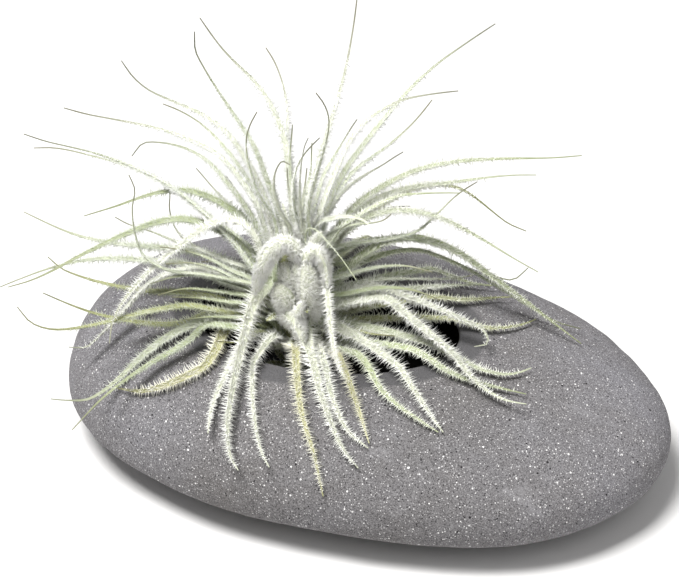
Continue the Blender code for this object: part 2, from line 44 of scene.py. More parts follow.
# ---- stone: an egg-shaped pebble, millimetres, long axis on X, resting on z = 0
STONE_HALF_LENGTH = 80.8
STONE_HALF_WIDTH = 57.4
STONE_RISE = 28.0          # widest level to the crown
STONE_DROP = 14.7          # widest level to the lowest point before the flat
STONE_LEVEL = 13.7         # height of the widest level above the flat spot
STONE_EGG = -0.050         # width change along the length
STONE_SHOULDER = 0.115     # fullness of the two ends
STONE_LEAN = -0.25         # the crown is taller at the -X end
STONE_ROUND = 0.825
HOLE_CENTRE = (-8.5, -5.3)
HOLE_HALF = (33.7, 21.3)
HOLE_TURN = math.radians(12.0)

# ---- sight line from which the leaf traces were read
VIEW_AZ = math.radians(22.0)
VIEW_EL = math.radians(33.0)
VIEW_TARGET = (-18.98, 27.74, 25.0)
VIEW_DISTANCE = 780.0
VIEW_SCALE = 2890.0
VIEW_MID = (339.5, 293.0)

# ---- the short stem that carries the rosette
STEM_FOOT = (-14.2, -7.2, 9.2)
STEM_TOP = (-15.6, -12.0, 61.0)
STEM_RADIUS = 4.3
SHEATH_FOOT = 0.34         # share of the stem height where the first leaf sits
SHEATH_TOP = 0.97
LEAF_GAP = 0.55            # free space kept between any two leaves
HAIR_ROOM = 1.0            # height of a resting leaf above the stone


def sight_axes():
    a, e = VIEW_AZ, VIEW_EL
    back = np.array([math.sin(a) * math.cos(e), -math.cos(a) * math.cos(e), math.sin(e)])
    right = np.array([math.cos(a), math.sin(a), 0.0])
    up = np.cross(back, right)
    eye = np.array(VIEW_TARGET) + back * VIEW_DISTANCE
    return eye, right, up, back


EYE, RIGHT, UP, BACK = sight_axes()


def rays(uv):
    uv = np.atleast_2d(np.asarray(uv, float))
    return (-BACK[None, :] + RIGHT[None, :] * ((uv[:, 0] - VIEW_MID[0]) / VIEW_SCALE)[:, None]
            - UP[None, :] * ((uv[:, 1] - VIEW_MID[1]) / VIEW_SCALE)[:, None])


def on_sight(uv, depth):
    """Points seen at uv, at the given depths measured along the view axis."""
    return EYE[None, :] + rays(uv) * np.asarray(depth, float).reshape(-1, 1)


def depth_of(p):
    return -((np.atleast_2d(p) - EYE) @ BACK)


def seen_at(p):
    d = np.atleast_2d(p) - EYE
    z = -(d @ BACK)
    return np.stack([VIEW_MID[0] + VIEW_SCALE * (d @ RIGHT) / z,
                     VIEW_MID[1] - VIEW_SCALE * (d @ UP) / z], -1)


def stone_unit(x, y):
    """Plan position as a point of the unit disc."""
    X = np.clip(x / STONE_HALF_LENGTH, -1.5, 1.5)
    wide = 1 + STONE_EGG * X + STONE_SHOULDER * (X * X - 0.4)
    return X, y / (STONE_HALF_WIDTH * wide)


def stone_level(p):
    """Below 1 inside the pebble, 1 on its surface, above 1 outside it."""
    p = np.atleast_2d(p)
    X, Y = stone_unit(p[:, 0], p[:, 1])
    dz = p[:, 2] - STONE_LEVEL
    rise = np.where(dz > 0, STONE_RISE * (1 + STONE_LEAN * np.clip(X, -1, 1)), STONE_DROP)
    Z = (np.abs(dz) / rise) ** (1 / STONE_ROUND)
    return np.sqrt(X * X + Y * Y + Z * Z)


def stone_clearance(p):
    """Approximate distance from the pebble's surface, negative inside."""
    p = np.atleast_2d(p)
    f = stone_level(p)
    h = 0.5
    g = np.stack([(stone_level(p + h * np.eye(3)[i]) - stone_level(p - h * np.eye(3)[i])) / (2 * h)
                  for i in range(3)], -1)
    return (f - 1) / np.maximum(np.linalg.norm(g, axis=1), 1e-3)


def in_hole(p, shrink=0.0):
    p = np.atleast_2d(p)
    x, y = p[:, 0] - HOLE_CENTRE[0], p[:, 1] - HOLE_CENTRE[1]
    c, s = math.cos(HOLE_TURN), math.sin(HOLE_TURN)
    a, b = x * c + y * s, -x * s + y * c
    return (a / (HOLE_HALF[0] - shrink)) ** 2 + (b / (HOLE_HALF[1] - shrink)) ** 2


# name, look, width (mm), share of stem height, tip rule, tip value, trace from tip to heart
# tip rule "d": tip lies this far in front of the stem axis along the view, millimetres
# tip rule "h": tip lies this far above the stone where it is seen
LEAVES = [
 ("leaf_upper_01", "pale", 2.5, .62, "d", 8, ((24,134),(50,142.5),(80,149),(110,158),(140,170),(170,186),(200,210),(235,243))),
 ("leaf_upper_02", "pale", 2.2, .74, "d", -18, ((34,148),(60,148.5),(90,155.5),(120,163.5),(150,176),(180,194),(205,214),(240,240))),
 ("leaf_upper_03", "white", 2.7, .68, "d", 20, ((64,108),(90,115),(120,120.5),(160,129),(190,140),(220,156),(240,180),(262,215))),
 ("leaf_upper_04", "pale", 2.8, .64, "d", -8, ((132,156),(136,146),(150,142),(170,144),(190,150),(210,163),(225,181),(250,215))),
 ("leaf_upper_05", "white", 2.8, .84, "d", 12, ((121.5,61),(130,74),(150,91),(180,104),(200,113),(220,126),(240,150),(265,200))),
 ("leaf_upper_06", "pale", 2.4, .80, "d", -10, ((163,104),(180,111),(200,123),(220,142),(238,165),(252,187),(270,220))),
 ("leaf_upper_07", "pale", 2.6, .86, "d", 26, ((194.5,32),(194,47),(205,70),(220,94),(240,124),(257,152),(267,183),(284,225))),
 ("leaf_upper_08", "white", 3.0, .90, "d", 14, ((200,18),(220,46),(240,67),(260,87),(276,115),(286,145),(291,185),(296,222))),
 ("leaf_upper_09", "white", 2.3, .93, "d", -14, ((266,48),(275,63),(283,85),(287,110),(287,140),(290,175),(297,215))),
 ("leaf_upper_10", "pale", 2.2, .84, "d", 34, ((257,112),(248,130),(246.5,150),(251,172),(259,194),(276,225))),
 ("leaf_upper_11", "white", 2.6, .96, "d", 26, ((357,-1),(353,30),(345,72),(335,108),(325,142),(315,180),(306,220))),
 ("leaf_upper_12", "pale", 2.2, .94, "d", 40, ((316,93),(325,106),(329,124),(323,152),(315,180),(308,215))),
 ("leaf_upper_13", "pale", 2.0, .92, "d", 30, ((319.5,138),(306,152),(297,167),(293,186),(296,215))),
 ("leaf_upper_14", "pale", 2.4, .90, "d", -8, ((357,119.5),(350,130),(334,157),(324,174),(316,200),(308,228))),
 ("leaf_upper_15", "white", 3.0, .88, "d", 24, ((458,91),(430,94.5),(400,101),(370,118),(350,141),(337,170),(325,200),(313,232))),
 ("leaf_upper_16", "pale", 2.8, .84, "d", 8, ((495,24),(460,47.5),(430,70),(400,100),(370,137),(346,170),(330,200),(315,235))),
 ("leaf_upper_17", "pale", 2.3, .80, "d", -14, ((432,100),(415,121),(390,144),(355,170),(336,196),(318,232))),
 ("leaf_right_01", "green", 2.6, .72, "d", 2, ((581.5,155.5),(550,158),(500,159),(450,162.5),(405,175),(362,201),(325,238))),
 ("leaf_right_02", "pale", 2.5, .66, "d", -12, ((536,175),(502,176),(448,183),(405,189),(362,207),(325,245))),
 ("leaf_right_03", "green", 2.2, .74, "d", 16, ((459,193),(437,193),(416,194),(396,197),(365,212),(325,243))),
 ("leaf_right_04", "olive", 2.3, .60, "d", -26, ((526,231),(506,222),(474,197),(448,185),(410,190),(370,213),(325,250))),
 ("leaf_right_05", "pale", 2.6, .62, "d", 4, ((538,272),(513,258),(478,237),(444,219.5),(411,211),(375,214),(340,235),(318,258))),
 ("leaf_right_06", "green", 3.0, .50, "h", 1.2, ((581,343.5),(552,322),(526,302),(490,276),(455,251),(416,238),(385,242),(350,262),(320,280))),
 ("leaf_right_07", "green", 2.8, .42, "h", 2.0, ((500,286),(472,283.5),(446,274.5),(414,263.5),(381,264),(350,277),(320,295))),
 ("leaf_right_08", "pale", 2.7, .44, "h", 4.5, ((486,284.5),(441,286),(397,289.5),(365,290),(335,293),(315,298))),
 ("leaf_right_09", "white", 2.5, .56, "h", 3.0, ((474.5,346.5),(488,348.5),(492,339),(476,323),(446,306),(419,296),(386,289),(350,286),(318,288))),
 ("leaf_right_10", "olive", 2.5, .34, "h", 1.4, ((536,319),(519,326),(486,329),(441,327),(400,318),(360,311),(318,312))),
 ("leaf_right_11", "olive", 2.4, .38, "h", 1.6, ((512,297),(490,298),(455,302),(419,309),(380,307),(345,302),(315,306))),
 ("leaf_right_12", "white", 3.1, .54, "h", 4.0, ((526,404),(499,398),(472,378),(448,347),(423,320),(397,302),(365,294),(330,296))),
 ("leaf_right_13", "pale", 2.8, .40, "h", 1.4, ((531,368),(506,375.5),(477,368),(450,356),(419,342),(386,327),(350,314),(318,312))),
 ("leaf_right_14", "green", 2.7, .24, "h", 1.6, ((526,394),(499,388),(472,381),(437,368),(397,353),(360,337),(320,325))),
 ("leaf_front_01", "white", 3.1, .46, "h", 1.4, ((443,432),(430,414),(409,382),(387,350),(364,327),(340,315),(315,308))),
 ("leaf_front_02", "green", 2.9, .22, "h", 1.2, ((438,432),(416,418),(391,400),(369,375),(350,352),(332,336),(314,326))),
 ("leaf_front_03", "tan", 3.0, .14, "h", 1.4, ((369,443),(360,414),(350,386),(336,367),(322,350),(308,335))),
 ("leaf_front_04", "white", 3.4, .58, "h", 1.6, ((358,468),(341,446),(326,410),(315,374),(307,345),(298,320),(293,306))),
 ("leaf_front_05", "white", 2.6, .34, "h", 1.6, ((368,448),(347,430),(335,405),(324,375),(316,350),(309,330))),
 ("leaf_front_06", "white", 2.0, .84, "h", 14, ((344,377),(336,359),(331,329),(328,296),(325,268),(319,250),(312,247))),
 ("leaf_front_07", "tan", 3.1, .03, "h", 1.6, ((323,496),(314,455),(303,420),(296,388),(291,362),(288,345))),
 ("leaf_front_08", "white", 3.5, .80, "h", 4.5, ((238,470),(230,457),(227,425),(232,389),(242,345),(250,308),(262,270),(280,248),(296,244))),
 ("leaf_front_09", "white", 2.9, .30, "h", 4.0, ((208,433),(212,407),(225,377),(240,349),(255,328),(276,314))),
 ("leaf_front_10", "white", 2.2, .26, "h", 3.0, ((269,467),(260,448),(254,416),(252,380),(254,345),(266,325),(284,318))),
 ("leaf_left_01", "pale", 3.3, .38, "d", 4, ((51,399),(87,400),(113,384),(156,345),(195,323),(225,315),(262,308))),
 ("leaf_left_02", "green", 3.0, .26, "d", 9, ((72.5,429.5),(104,397),(145,367),(185,346),(220,333),(262,321))),
 ("leaf_left_03", "tan", 2.7, .04, "h", 1.3, ((117,388),(145,391),(178,380),(212,363),(236,357),(266,354))),
 ("leaf_left_04", "white", 2.9, .58, "h", 8.0, ((69,347),(80,351.5),(102,334),(121,314),(147,286),(173,273),(203,270),(235,281),(270,290))),
 ("leaf_left_05", "white", 1.9, .66, "h", 12.0, ((109.5,343),(113,321),(128,295),(152,269),(186,241),(215,222),(242,222),(275,255))),
 ("leaf_left_06", "green", 3.1, .54, "d", 10, ((8.5,287),(40,277),(80,256),(120,237),(160,222),(195,221),(235,240),(270,270))),
 ("leaf_left_07", "pale", 2.4, .48, "d", -14, ((0,287),(40,271.5),(80,261),(120,258.5),(148,261),(185,264),(225,275),(270,288))),
 ("leaf_left_08", "pale", 2.5, .56, "d", -20, ((24,212),(60,229),(90,239),(130,245.5),(165,248),(205,254),(240,266),(275,280))),
 ("leaf_left_09", "green", 2.7, .64, "d", -16, ((84,216),(120,205),(150,194.5),(180,190),(205,195),(235,212),(270,245))),
 ("leaf_left_10", "olive", 2.8, .32, "d", -10, ((48,257),(64,270),(100,282.5),(145,291),(184,293),(220,301),(265,306))),
 ("leaf_left_11", "olive", 2.6, .24, "d", 4, ((43,293),(60,300.5),(93,313),(130,321),(170,325),(215,320),(266,316))),
 ("leaf_left_12", "olive", 2.8, .28, "d", 14, ((17.5,307),(33,324),(60,330),(104,323),(152,311),(195,306),(230,309),(266,311))),
 ("leaf_back_01", "pale", 2.8, .50, "d", -66, ((262,196),(268,212),(278,236),(289,262))),
 ("leaf_back_02", "green", 2.8, .44, "d", -64, ((330,200),(326,214),(319,240),(309,266))),
 ("leaf_back_03", "olive", 2.8, .24, "d", -46, ((232,236),(246,246),(264,264),(284,286))),
 ("leaf_back_04", "olive", 2.8, .34, "d", -60, ((370,236),(354,244),(334,262),(312,284))),
]

STATIONS = 15


def smooth_curve(ctrl, n):
    """Centripetal-style interpolating spline resampled to n points of even spacing."""
    c = np.asarray(ctrl, float)
    ext = np.vstack([2 * c[0] - c[1], c, 2 * c[-1] - c[-2]])
    out = []
    for i in range(1, len(ext) - 2):
        p0, p1, p2, p3 = ext[i - 1:i + 3]
        for t in np.linspace(0, 1, 14, endpoint=False):
            out.append(0.5 * ((2 * p1) + (-p0 + p2) * t + (2 * p0 - 5 * p1 + 4 * p2 - p3) * t * t
                              + (-p0 + 3 * p1 - 3 * p2 + p3) * t ** 3))
    out.append(c[-1])
    out = np.array(out)
    seg = np.r_[0, np.cumsum(np.linalg.norm(np.diff(out, axis=0), axis=1))]
    want = np.linspace(0, seg[-1], n)
    return np.stack([np.interp(want, seg, out[:, k]) for k in range(out.shape[1])], -1)


def stem_point(t):
    a, b = np.array(STEM_FOOT), np.array(STEM_TOP)
    return a + (b - a) * t


def tip_depth(uv, rule, value):
    near = float(depth_of(stem_point(0.75))[0])
    if rule == "d":
        return near - value
    lo, hi = near - 160.0, near + 60.0
    span = np.linspace(lo, hi, 441)
    pts = on_sight(np.repeat([uv], len(span), 0), span)
    clear = stone_clearance(pts)
    hit = np.where(clear < value)[0]
    if len(hit) == 0:
        return near
    return span[hit[0]]


def half_width(s, width):
    """Half of the blade's breadth at share s of its length."""
    s = np.asarray(s, float)
    sheath = 1.0 - 0.34 * np.exp(-(s / 0.13) ** 2)
    taper = (1 - s) ** 0.62 * 0.92 + 0.08
    return np.maximum(0.5 * width * sheath * taper, 0.28)


def half_thick(s, width):
    s = np.asarray(s, float)
    return np.maximum(0.5 * (0.30 + 0.34 * (1 - s) ** 0.7) * (0.7 + 0.12 * width), 0.24)


def stem_axis():
    axis = np.array(STEM_TOP) - np.array(STEM_FOOT)
    return axis / np.linalg.norm(axis)


def first_midlines():
    """Leaf midlines from root to tip, laid on the sight lines of their traces."""
    axis = stem_axis()
    lines = []
    for name, look, width, share, rule, value, trace in LEAVES:
        t = SHEATH_FOOT + (SHEATH_TOP - SHEATH_FOOT) * share
        root = stem_point(t)
        uv = np.array(trace[::-1], float)
        d_tip = tip_depth(uv[-1], rule, value)
        d0 = float(depth_of(root)[0])
        full = np.vstack([seen_at(root), uv])
        seg = np.r_[0, np.cumsum(np.linalg.norm(np.diff(full, axis=0), axis=1))]
        g = (seg / seg[-1])[1:]
        pts = on_sight(uv, d0 + (d_tip - d0) * g)
        out = pts[min(1, len(pts) - 1)] - root
        rad = out - axis * (out @ axis)
        rad /= max(np.linalg.norm(rad), 1e-6)
        start = root + rad * (STEM_RADIUS + 1.3)
        keep = [p for p in pts
                if np.linalg.norm((p - root) - axis * ((p - root) @ axis)) > STEM_RADIUS + 2.4
                or (p - np.array(STEM_TOP)) @ axis > 2.5]
        lines.append(smooth_curve(np.vstack([start] + keep), STATIONS))
    return np.array(lines)


def settle(lines, rounds=420):
    """Move the midlines apart, mostly along the sight lines, until each has room."""
    L, M, _ = lines.shape
    s = np.linspace(0, 1, M)
    wid = np.array([row[2] for row in LEAVES])
    hw = np.stack([half_width(s, w) for w in wid])
    ht = np.stack([half_thick(s, w) for w in wid])
    rad = np.maximum(0.97 * hw, ht)
    P = lines.copy()
    n = 2 * M - 1
    S = np.zeros((n, M))
    for k in range(n):
        j = k // 2
        if k % 2 == 0:
            S[k, j] = 1.0
        else:
            S[k, j] = S[k, j + 1] = 0.5
    norm = S.sum(0)
    own = np.repeat(np.arange(L), n)
    R = (rad @ S.T).reshape(-1)
    view = rays(seen_at(P.reshape(-1, 3)))
    view /= np.linalg.norm(view, axis=1, keepdims=True)
    view = view.reshape(L, M, 3)
    near_root = np.repeat(np.exp(-(s / 0.11) ** 2)[None, :, None], L, 0)
    free = near_root
    low = stem_point(0.0)
    axis = stem_axis()
    length = np.linalg.norm(np.array(STEM_TOP) - low)
    pairs = None
    worst = 0.0
    for it in range(rounds):
        q = np.einsum("km,lmc->lkc", S, P).reshape(-1, 3)
        if it % 30 == 29 and it < rounds - 60:
            P = np.array([resample(line, M) for line in P])
            view = rays(seen_at(P.reshape(-1, 3)))
            view /= np.linalg.norm(view, axis=1, keepdims=True)
            view = view.reshape(L, M, 3)
            q = np.einsum("km,lmc->lkc", S, P).reshape(-1, 3)
        if it % 12 == 0 or it % 30 == 29:
            low_in = (in_hole(P.reshape(-1, 3)) < 1.25) & (P.reshape(-1, 3)[:, 2] < 50.0)
            free = np.maximum(near_root, 0.6 * low_in.reshape(L, M, 1))
            sq = (q * q).sum(1)
            d2 = sq[:, None] + sq[None, :] - 2 * q @ q.T
            lim = R[:, None] + R[None, :] + LEAF_GAP + 2.2
            mask = (d2 < lim * lim) & (own[:, None] < own[None, :])
            pairs = np.nonzero(mask)
        i, j = pairs
        d = q[i] - q[j]
        dist = np.sqrt((d * d).sum(1)) + 1e-9
        short = R[i] + R[j] + LEAF_GAP - dist
        bad = short > 0
        worst = float(short.max()) if len(short) else 0.0
        if bad.any():
            i, j, d, dist, short = i[bad], j[bad], d[bad], dist[bad], short[bad]
            vq = np.einsum("km,lmc->lkc", S, view).reshape(-1, 3)
            fq = np.einsum("km,lm->lk", S, free[:, :, 0]).reshape(-1)
            unit = d / dist[:, None]
            vm = vq[i] + vq[j]
            vm /= np.linalg.norm(vm, axis=1, keepdims=True)
            side = np.sign((unit * vm).sum(1))
            side[side == 0] = 1
            f = (0.5 * (fq[i] + fq[j]))[:, None]
            cosang = np.abs((unit * vm).sum(1))
            along = vm * (side * np.minimum(short / np.maximum(cosang, 0.35), 2.0))[:, None]
            mv = (unit * short[:, None] * f + along * (1 - f)) * 0.5
            acc = np.zeros_like(q)
            cnt = np.zeros(len(q))
            np.add.at(acc, i, mv)
            np.add.at(acc, j, -mv)
            np.add.at(cnt, i, 1)
            np.add.at(cnt, j, 1)
            acc /= np.maximum(cnt, 1)[:, None] ** 0.7
            acc = np.einsum("km,lkc->lmc", S, acc.reshape(L, n, 3)) / norm[None, :, None]
            for _ in range(2):
                pad = np.pad(acc, ((0, 0), (1, 1), (0, 0)), mode="edge")
                acc = acc * 0.5 + 0.25 * (pad[:, :-2] + pad[:, 2:])
            P = P + acc * 1.5
        flat = P.reshape(-1, 3)
        clear = stone_clearance(flat)
        inward = np.maximum((1 - np.sqrt(in_hole(flat))) * 20.0 - 2.6, 0)
        lift = np.clip(rad.reshape(-1) + HAIR_ROOM - 1.3 * inward - clear, 0, 3.0)
        lift = lift * (1 - near_root[:, :, 0] ** 0.5).reshape(-1)
        low_z = np.where(inward > 0, np.maximum(29.0 - flat[:, 2], 0), 0)
        inside = (in_hole(flat) < 1.0)[:, None]
        flat = flat + np.where(inside, [0.0, 0.0, 1.0], -view.reshape(-1, 3)) * (lift * 0.9)[:, None]
        flat[:, 2] += 0.3 * low_z
        P = flat.reshape(L, M, 3)
        rel = P - low
        al = rel @ axis
        rv = rel - al[..., None] * axis
        rr = np.linalg.norm(rv, axis=-1)
        lim = np.where((al < length) & (al > -3), STEM_RADIUS + 0.45 + hw * 0.6, 0)
        out = np.maximum(lim - rr, 0)
        out[:, 0] = STEM_RADIUS + 0.85 + ht[:, 0] - rr[:, 0]
        P = P + rv / np.maximum(rr, 1e-6)[..., None] * out[..., None]
        P[:, 0] += (np.clip(al[:, 0], SHEATH_FOOT * length, length) - al[:, 0])[:, None] * axis
        if it % 3 == 0 and it < rounds - 9:
            bend = 0.5 * (P[:, :-2] + P[:, 2:]) - P[:, 1:-1]
            part = (bend * view[:, 1:-1]).sum(-1, keepdims=True) * view[:, 1:-1]
            fr = free[:, 1:-1]
            P[:, 1:-1] += 0.22 * (part * (1 - fr) + bend * fr)
    return P, rad, worst


def leaf_frames(line):
    """Tangent, breadth and face directions carried along a midline without twist."""
    T = np.gradient(line, axis=0)
    T /= np.linalg.norm(T, axis=1, keepdims=True)
    axis = stem_axis()
    rel = line[0] - stem_point(0.0)
    rad = rel - axis * (rel @ axis)
    rad /= np.linalg.norm(rad)
    face = np.array([0, 0, 1.0]) - 0.8 * rad
    N = np.zeros_like(line)
    n = face - T[0] * (face @ T[0])
    n /= np.linalg.norm(n)
    for i in range(len(line)):
        n = n - T[i] * (n @ T[i])
        n /= np.linalg.norm(n)
        N[i] = n
    return T, np.cross(T, N), N


def resample(line, n):
    seg = np.r_[0, np.cumsum(np.linalg.norm(np.diff(line, axis=0), axis=1))]
    want = np.linspace(0, seg[-1], n)
    return np.stack([np.interp(want, seg, line[:, k]) for k in range(3)], -1)


# ---------------------------------------------------------------- finer leaves
# Thin and young leaves that only the fine model carries. thin_31 to thin_38 were
# placed to fill out the cover and follow no traced leaf.
EXTRA = [
 ("thin_01", "pale", 1.6, .92, "d", 10, ((292.5,125),(291.5,138),(290,156),(291,185),(297,222))),
 ("thin_02", "white", 1.6, .95, "d", 30, ((308,138),(304,148),(300,175),(300,215))),
 ("thin_03", "pale", 1.9, .95, "d", 6, ((312,143),(311.5,155),(311,170),(306,195),(303,222))),
 ("thin_04", "white", 2.2, .86, "d", -6, ((403,152),(390,160),(381,166),(362,177),(340,195),(318,232))),
 ("thin_05", "pale", 1.7, .78, "d", -4, ((477,182),(457,195),(437,214),(416,232),(385,240),(345,245),(318,256))),
 ("thin_06", "green", 1.6, .60, "d", -10, ((528,268),(519.5,275),(508,281),(488,272),(455,252),(416,240),(370,240),(325,262))),
 ("thin_07", "green", 2.0, .46, "h", 2.2, ((580,328.5),(557,322),(528,306),(490,282),(452,262),(410,250),(360,264),(318,288))),
 ("thin_08", "pale", 1.5, .52, "h", 6, ((479,273),(459,278),(430,279),(390,279),(350,284),(318,292))),
 ("thin_09", "pale", 1.9, .66, "d", 14, ((129,175),(134.5,183),(135,189),(132.5,205),(133,222),(142.5,254),(168,270),(205,275),(255,285))),
 ("thin_10", "pale", 2.0, .60, "d", -22, ((115,217),(130,225),(150,231),(172,240),(205,252),(245,268),(275,278))),
 ("thin_11", "white", 2.0, .68, "d", -6, ((170,196),(169,205),(173,223),(183,238),(205,252),(235,264),(268,274))),
 ("thin_12", "white", 2.4, .88, "d", 34, ((290,165),(282,161.5),(275,173),(274,191),(280,212),(290,232))),
 ("thin_13", "pale", 1.9, .80, "d", 22, ((391,214),(383,220.5),(372,223),(350,226),(325,240))),
 ("thin_14", "white", 3.4, .88, "d", 26, ((374,232),(366,222),(356,218),(343,217),(329,220),(316,228))),
 ("thin_15", "pale", 3.4, .80, "d", 20, ((351,223),(341,229),(333,240),(322,254))),
 ("thin_16", "pale", 0.5, .90, "d", 34, ((357,281),(341,258),(326,240),(313,228),(306,232))),
 ("thin_17", "white", 2.6, .97, "d", 14, ((287,168),(289,190),(296,222))),
 ("thin_18", "white", 2.6, .97, "d", 16, ((307,168),(304,195),(300,222))),
 ("thin_19", "olive", 2.6, .18, "d", 10, ((216,341),(236,342),(262,332),(284,328))),
 ("thin_21", "olive", 2.4, .14, "d", 12, ((395,336),(372,334),(345,330),(318,326))),
 ("thin_22", "white", 2.4, .74, "d", -34, ((196,168),(215,190),(238,215),(262,240),(284,262))),
 ("thin_23", "pale", 2.4, .70, "d", -40, ((226,176),(240,196),(255,220),(272,246),(288,264))),
 ("thin_24", "pale", 2.4, .72, "d", -38, ((372,196),(356,214),(338,232),(318,252),(306,262))),
 ("thin_25", "white", 2.4, .78, "d", -30, ((410,206),(385,208),(355,218),(326,240))),
 ("thin_26", "green", 2.4, .40, "d", -62, ((300,176),(300,196),(301,222),(300,256))),
 ("thin_27", "olive", 2.6, .30, "d", -66, ((352,214),(340,232),(322,256),(308,274))),
 ("thin_28", "olive", 2.6, .28, "d", -64, ((246,206),(258,226),(272,250),(288,272))),
 ("thin_29", "green", 2.6, .36, "d", -46, ((410,250),(385,252),(352,262),(316,280))),
 ("thin_37", "pale", 4.4, .40, "d", 9, ((150,284),(174,277),(200,275),(224,281),(262,295))),
 ("thin_38", "green", 3.6, .34, "d", 8, ((158,295),(184,289),(212,291),(262,301))),
 ("thin_31", "pale", 3.2, .42, "d", 8, ((160,247),(182,250),(207,258),(233,272),(262,286))),
 ("thin_32", "pale", 3.2, .36, "d", 10, ((166,264),(190,263),(212,268),(238,280),(266,292))),
 ("thin_33", "green", 3.0, .28, "d", 12, ((172,297),(198,298),(225,302),(262,308))),
 ("thin_34", "green", 3.0, .22, "d", 10, ((182,320),(210,317),(238,318),(266,318))),
 ("thin_35", "pale", 3.0, .45, "d", 10, ((432,272),(405,266),(375,268),(345,276),(322,284))),
 ("thin_36", "green", 3.0, .32, "d", 12, ((440,300),(412,290),(380,288),(348,294),(322,300))),
 ("thin_30", "green", 2.6, .38, "d", -44, ((200,262),(222,262),(250,268),(282,280))),
]

# Blunt furry young leaves in the middle of the rosette, from base to tip: picture
# place and how far each point stands in front of the stem's axis at that height.
BUDS = [
 ("bud_01", "white", 9.0, ((290,307,5.0),(285,297,8.0),(279,284,9.0))),
 ("bud_02", "white", 8.8, ((310,313,4.0),(311,297,9.0),(309,276,9.0),(308,258,8.0))),
 ("bud_03", "white", 6.0, ((299,262,4.0),(294,249,7.0),(284,243,8.5),(273,249,9.0),(265,262,9.0),(259,278,9.0),(255,293,10.0))),
 ("bud_04", "white", 6.0, ((301,242,0.0),(302,229,4.0),(302,217,5.0))),
 ("bud_05", "white", 3.4, ((297,322,9.0),(299,312,13.0),(301,303,14.0))),
 ("bud_06", "white", 4.8, ((305,268,6.0),(308,256,8.0),(315,250,9.5),(322,255,10.5),(326.5,268,11.5),(328,287,15.5))),
 ("bud_07", "white", 5.0, ((306,250,2.0),(315,241,5.0),(322,232,6.0))),
 ("bud_08", "white", 7.0, ((284,312,4.0),(289,313,9.0),(296,319,12.5),(301,330,15.5),(304,341,18.5))),
 ("bud_09", "white", 5.0, ((296,248,2.0),(289,238,3.0),(284,228,3.0))),
 ("bud_10", "white", 6.4, ((293,290,3.0),(288,277,6.0),(285,263,6.0))),
 ("bud_11", "white", 6.4, ((301,300,4.0),(299,285,6.0),(298,270,6.5),(299,256,5.5))),
]

RNG = np.random.default_rng(20417)
BODY = "root"
HAIR_BUDGET = 118000          # felt hairs on all leaves together
EDGE_STEP, FACE_STEP = 4.6, 4.6          # spikes per millimetre of leaf
SPIKE_RADIUS = [0.155, 0.125, 0.085]     # margin spike, face spike, felt
GROUP_SCALE = {"upper": (0.84, 1.45), "right": (0.98, 2.15), "front": (0.78, 2.25),
               "left": (1.04, 2.25), "back": (0.90, 1.65), "thin": (0.86, 1.40), "bud": (1.0, 1.9)}
LONG_SHARE = 0.40          # share of the hairs that stand out as spikes
BROAD = {"leaf_front_08": (0.12, 0.09, 0.15), "leaf_front_04": (0.75, 0.04, 0.16),
         "leaf_front_06": (1.6, 0.02, 0.13), "leaf_front_07": (0.55, 0.08, 0.20),
         "leaf_front_01": (0.6, 0.05, 0.18), "leaf_right_12": (0.6, 0.05, 0.18)}
DARK_TIP = {"upper": 1.0, "right": 0.45, "front": 0.12, "left": 0.7, "back": 0.9, "thin": 0.9}
LOOK_HAIR = {"white": (1.12, 1.15), "pale": (1.0, 1.0), "green": (0.94, 0.92),
             "olive": (0.90, 0.84), "tan": (0.98, 0.92)}       # length, density
PLAIN_TIP = ("thin_14", "thin_16", "leaf_right_11", "leaf_right_12", "leaf_right_13")
LONG_FUR = {"leaf_front_08": 1.20, "leaf_front_07": 1.12, "leaf_front_04": 1.12,
            "leaf_front_01": 1.0, "leaf_front_06": 0.80, "leaf_front_10": 0.9,
            "leaf_left_05": 0.8, "leaf_left_04": 0.9}


def midline(row):
    name, look, width, share, rule, value, trace = row
    axis = stem_axis()
    root = stem_point(SHEATH_FOOT + (SHEATH_TOP - SHEATH_FOOT) * share)
    uv = np.array(trace[::-1], float)
    d_tip = tip_depth(uv[-1], rule, value)
    d0 = float(depth_of(root)[0])
    full = np.vstack([seen_at(root), uv])
    seg = np.r_[0, np.cumsum(np.linalg.norm(np.diff(full, axis=0), axis=1))]
    pts = on_sight(uv, d0 + (d_tip - d0) * (seg / seg[-1])[1:])
    out = pts[min(1, len(pts) - 1)] - root
    rad = out - axis * (out @ axis)
    rad /= max(np.linalg.norm(rad), 1e-6)
    start = root + rad * (STEM_RADIUS * 0.7)
    keep = [p for p in pts
            if np.linalg.norm((p - root) - axis * ((p - root) @ axis)) > STEM_RADIUS + 1.2
            or (p - np.array(STEM_TOP)) @ axis > 2.5]
    if not keep:
        keep = [pts[-1]]
    return smooth_curve(np.vstack([start] + keep), STATIONS)


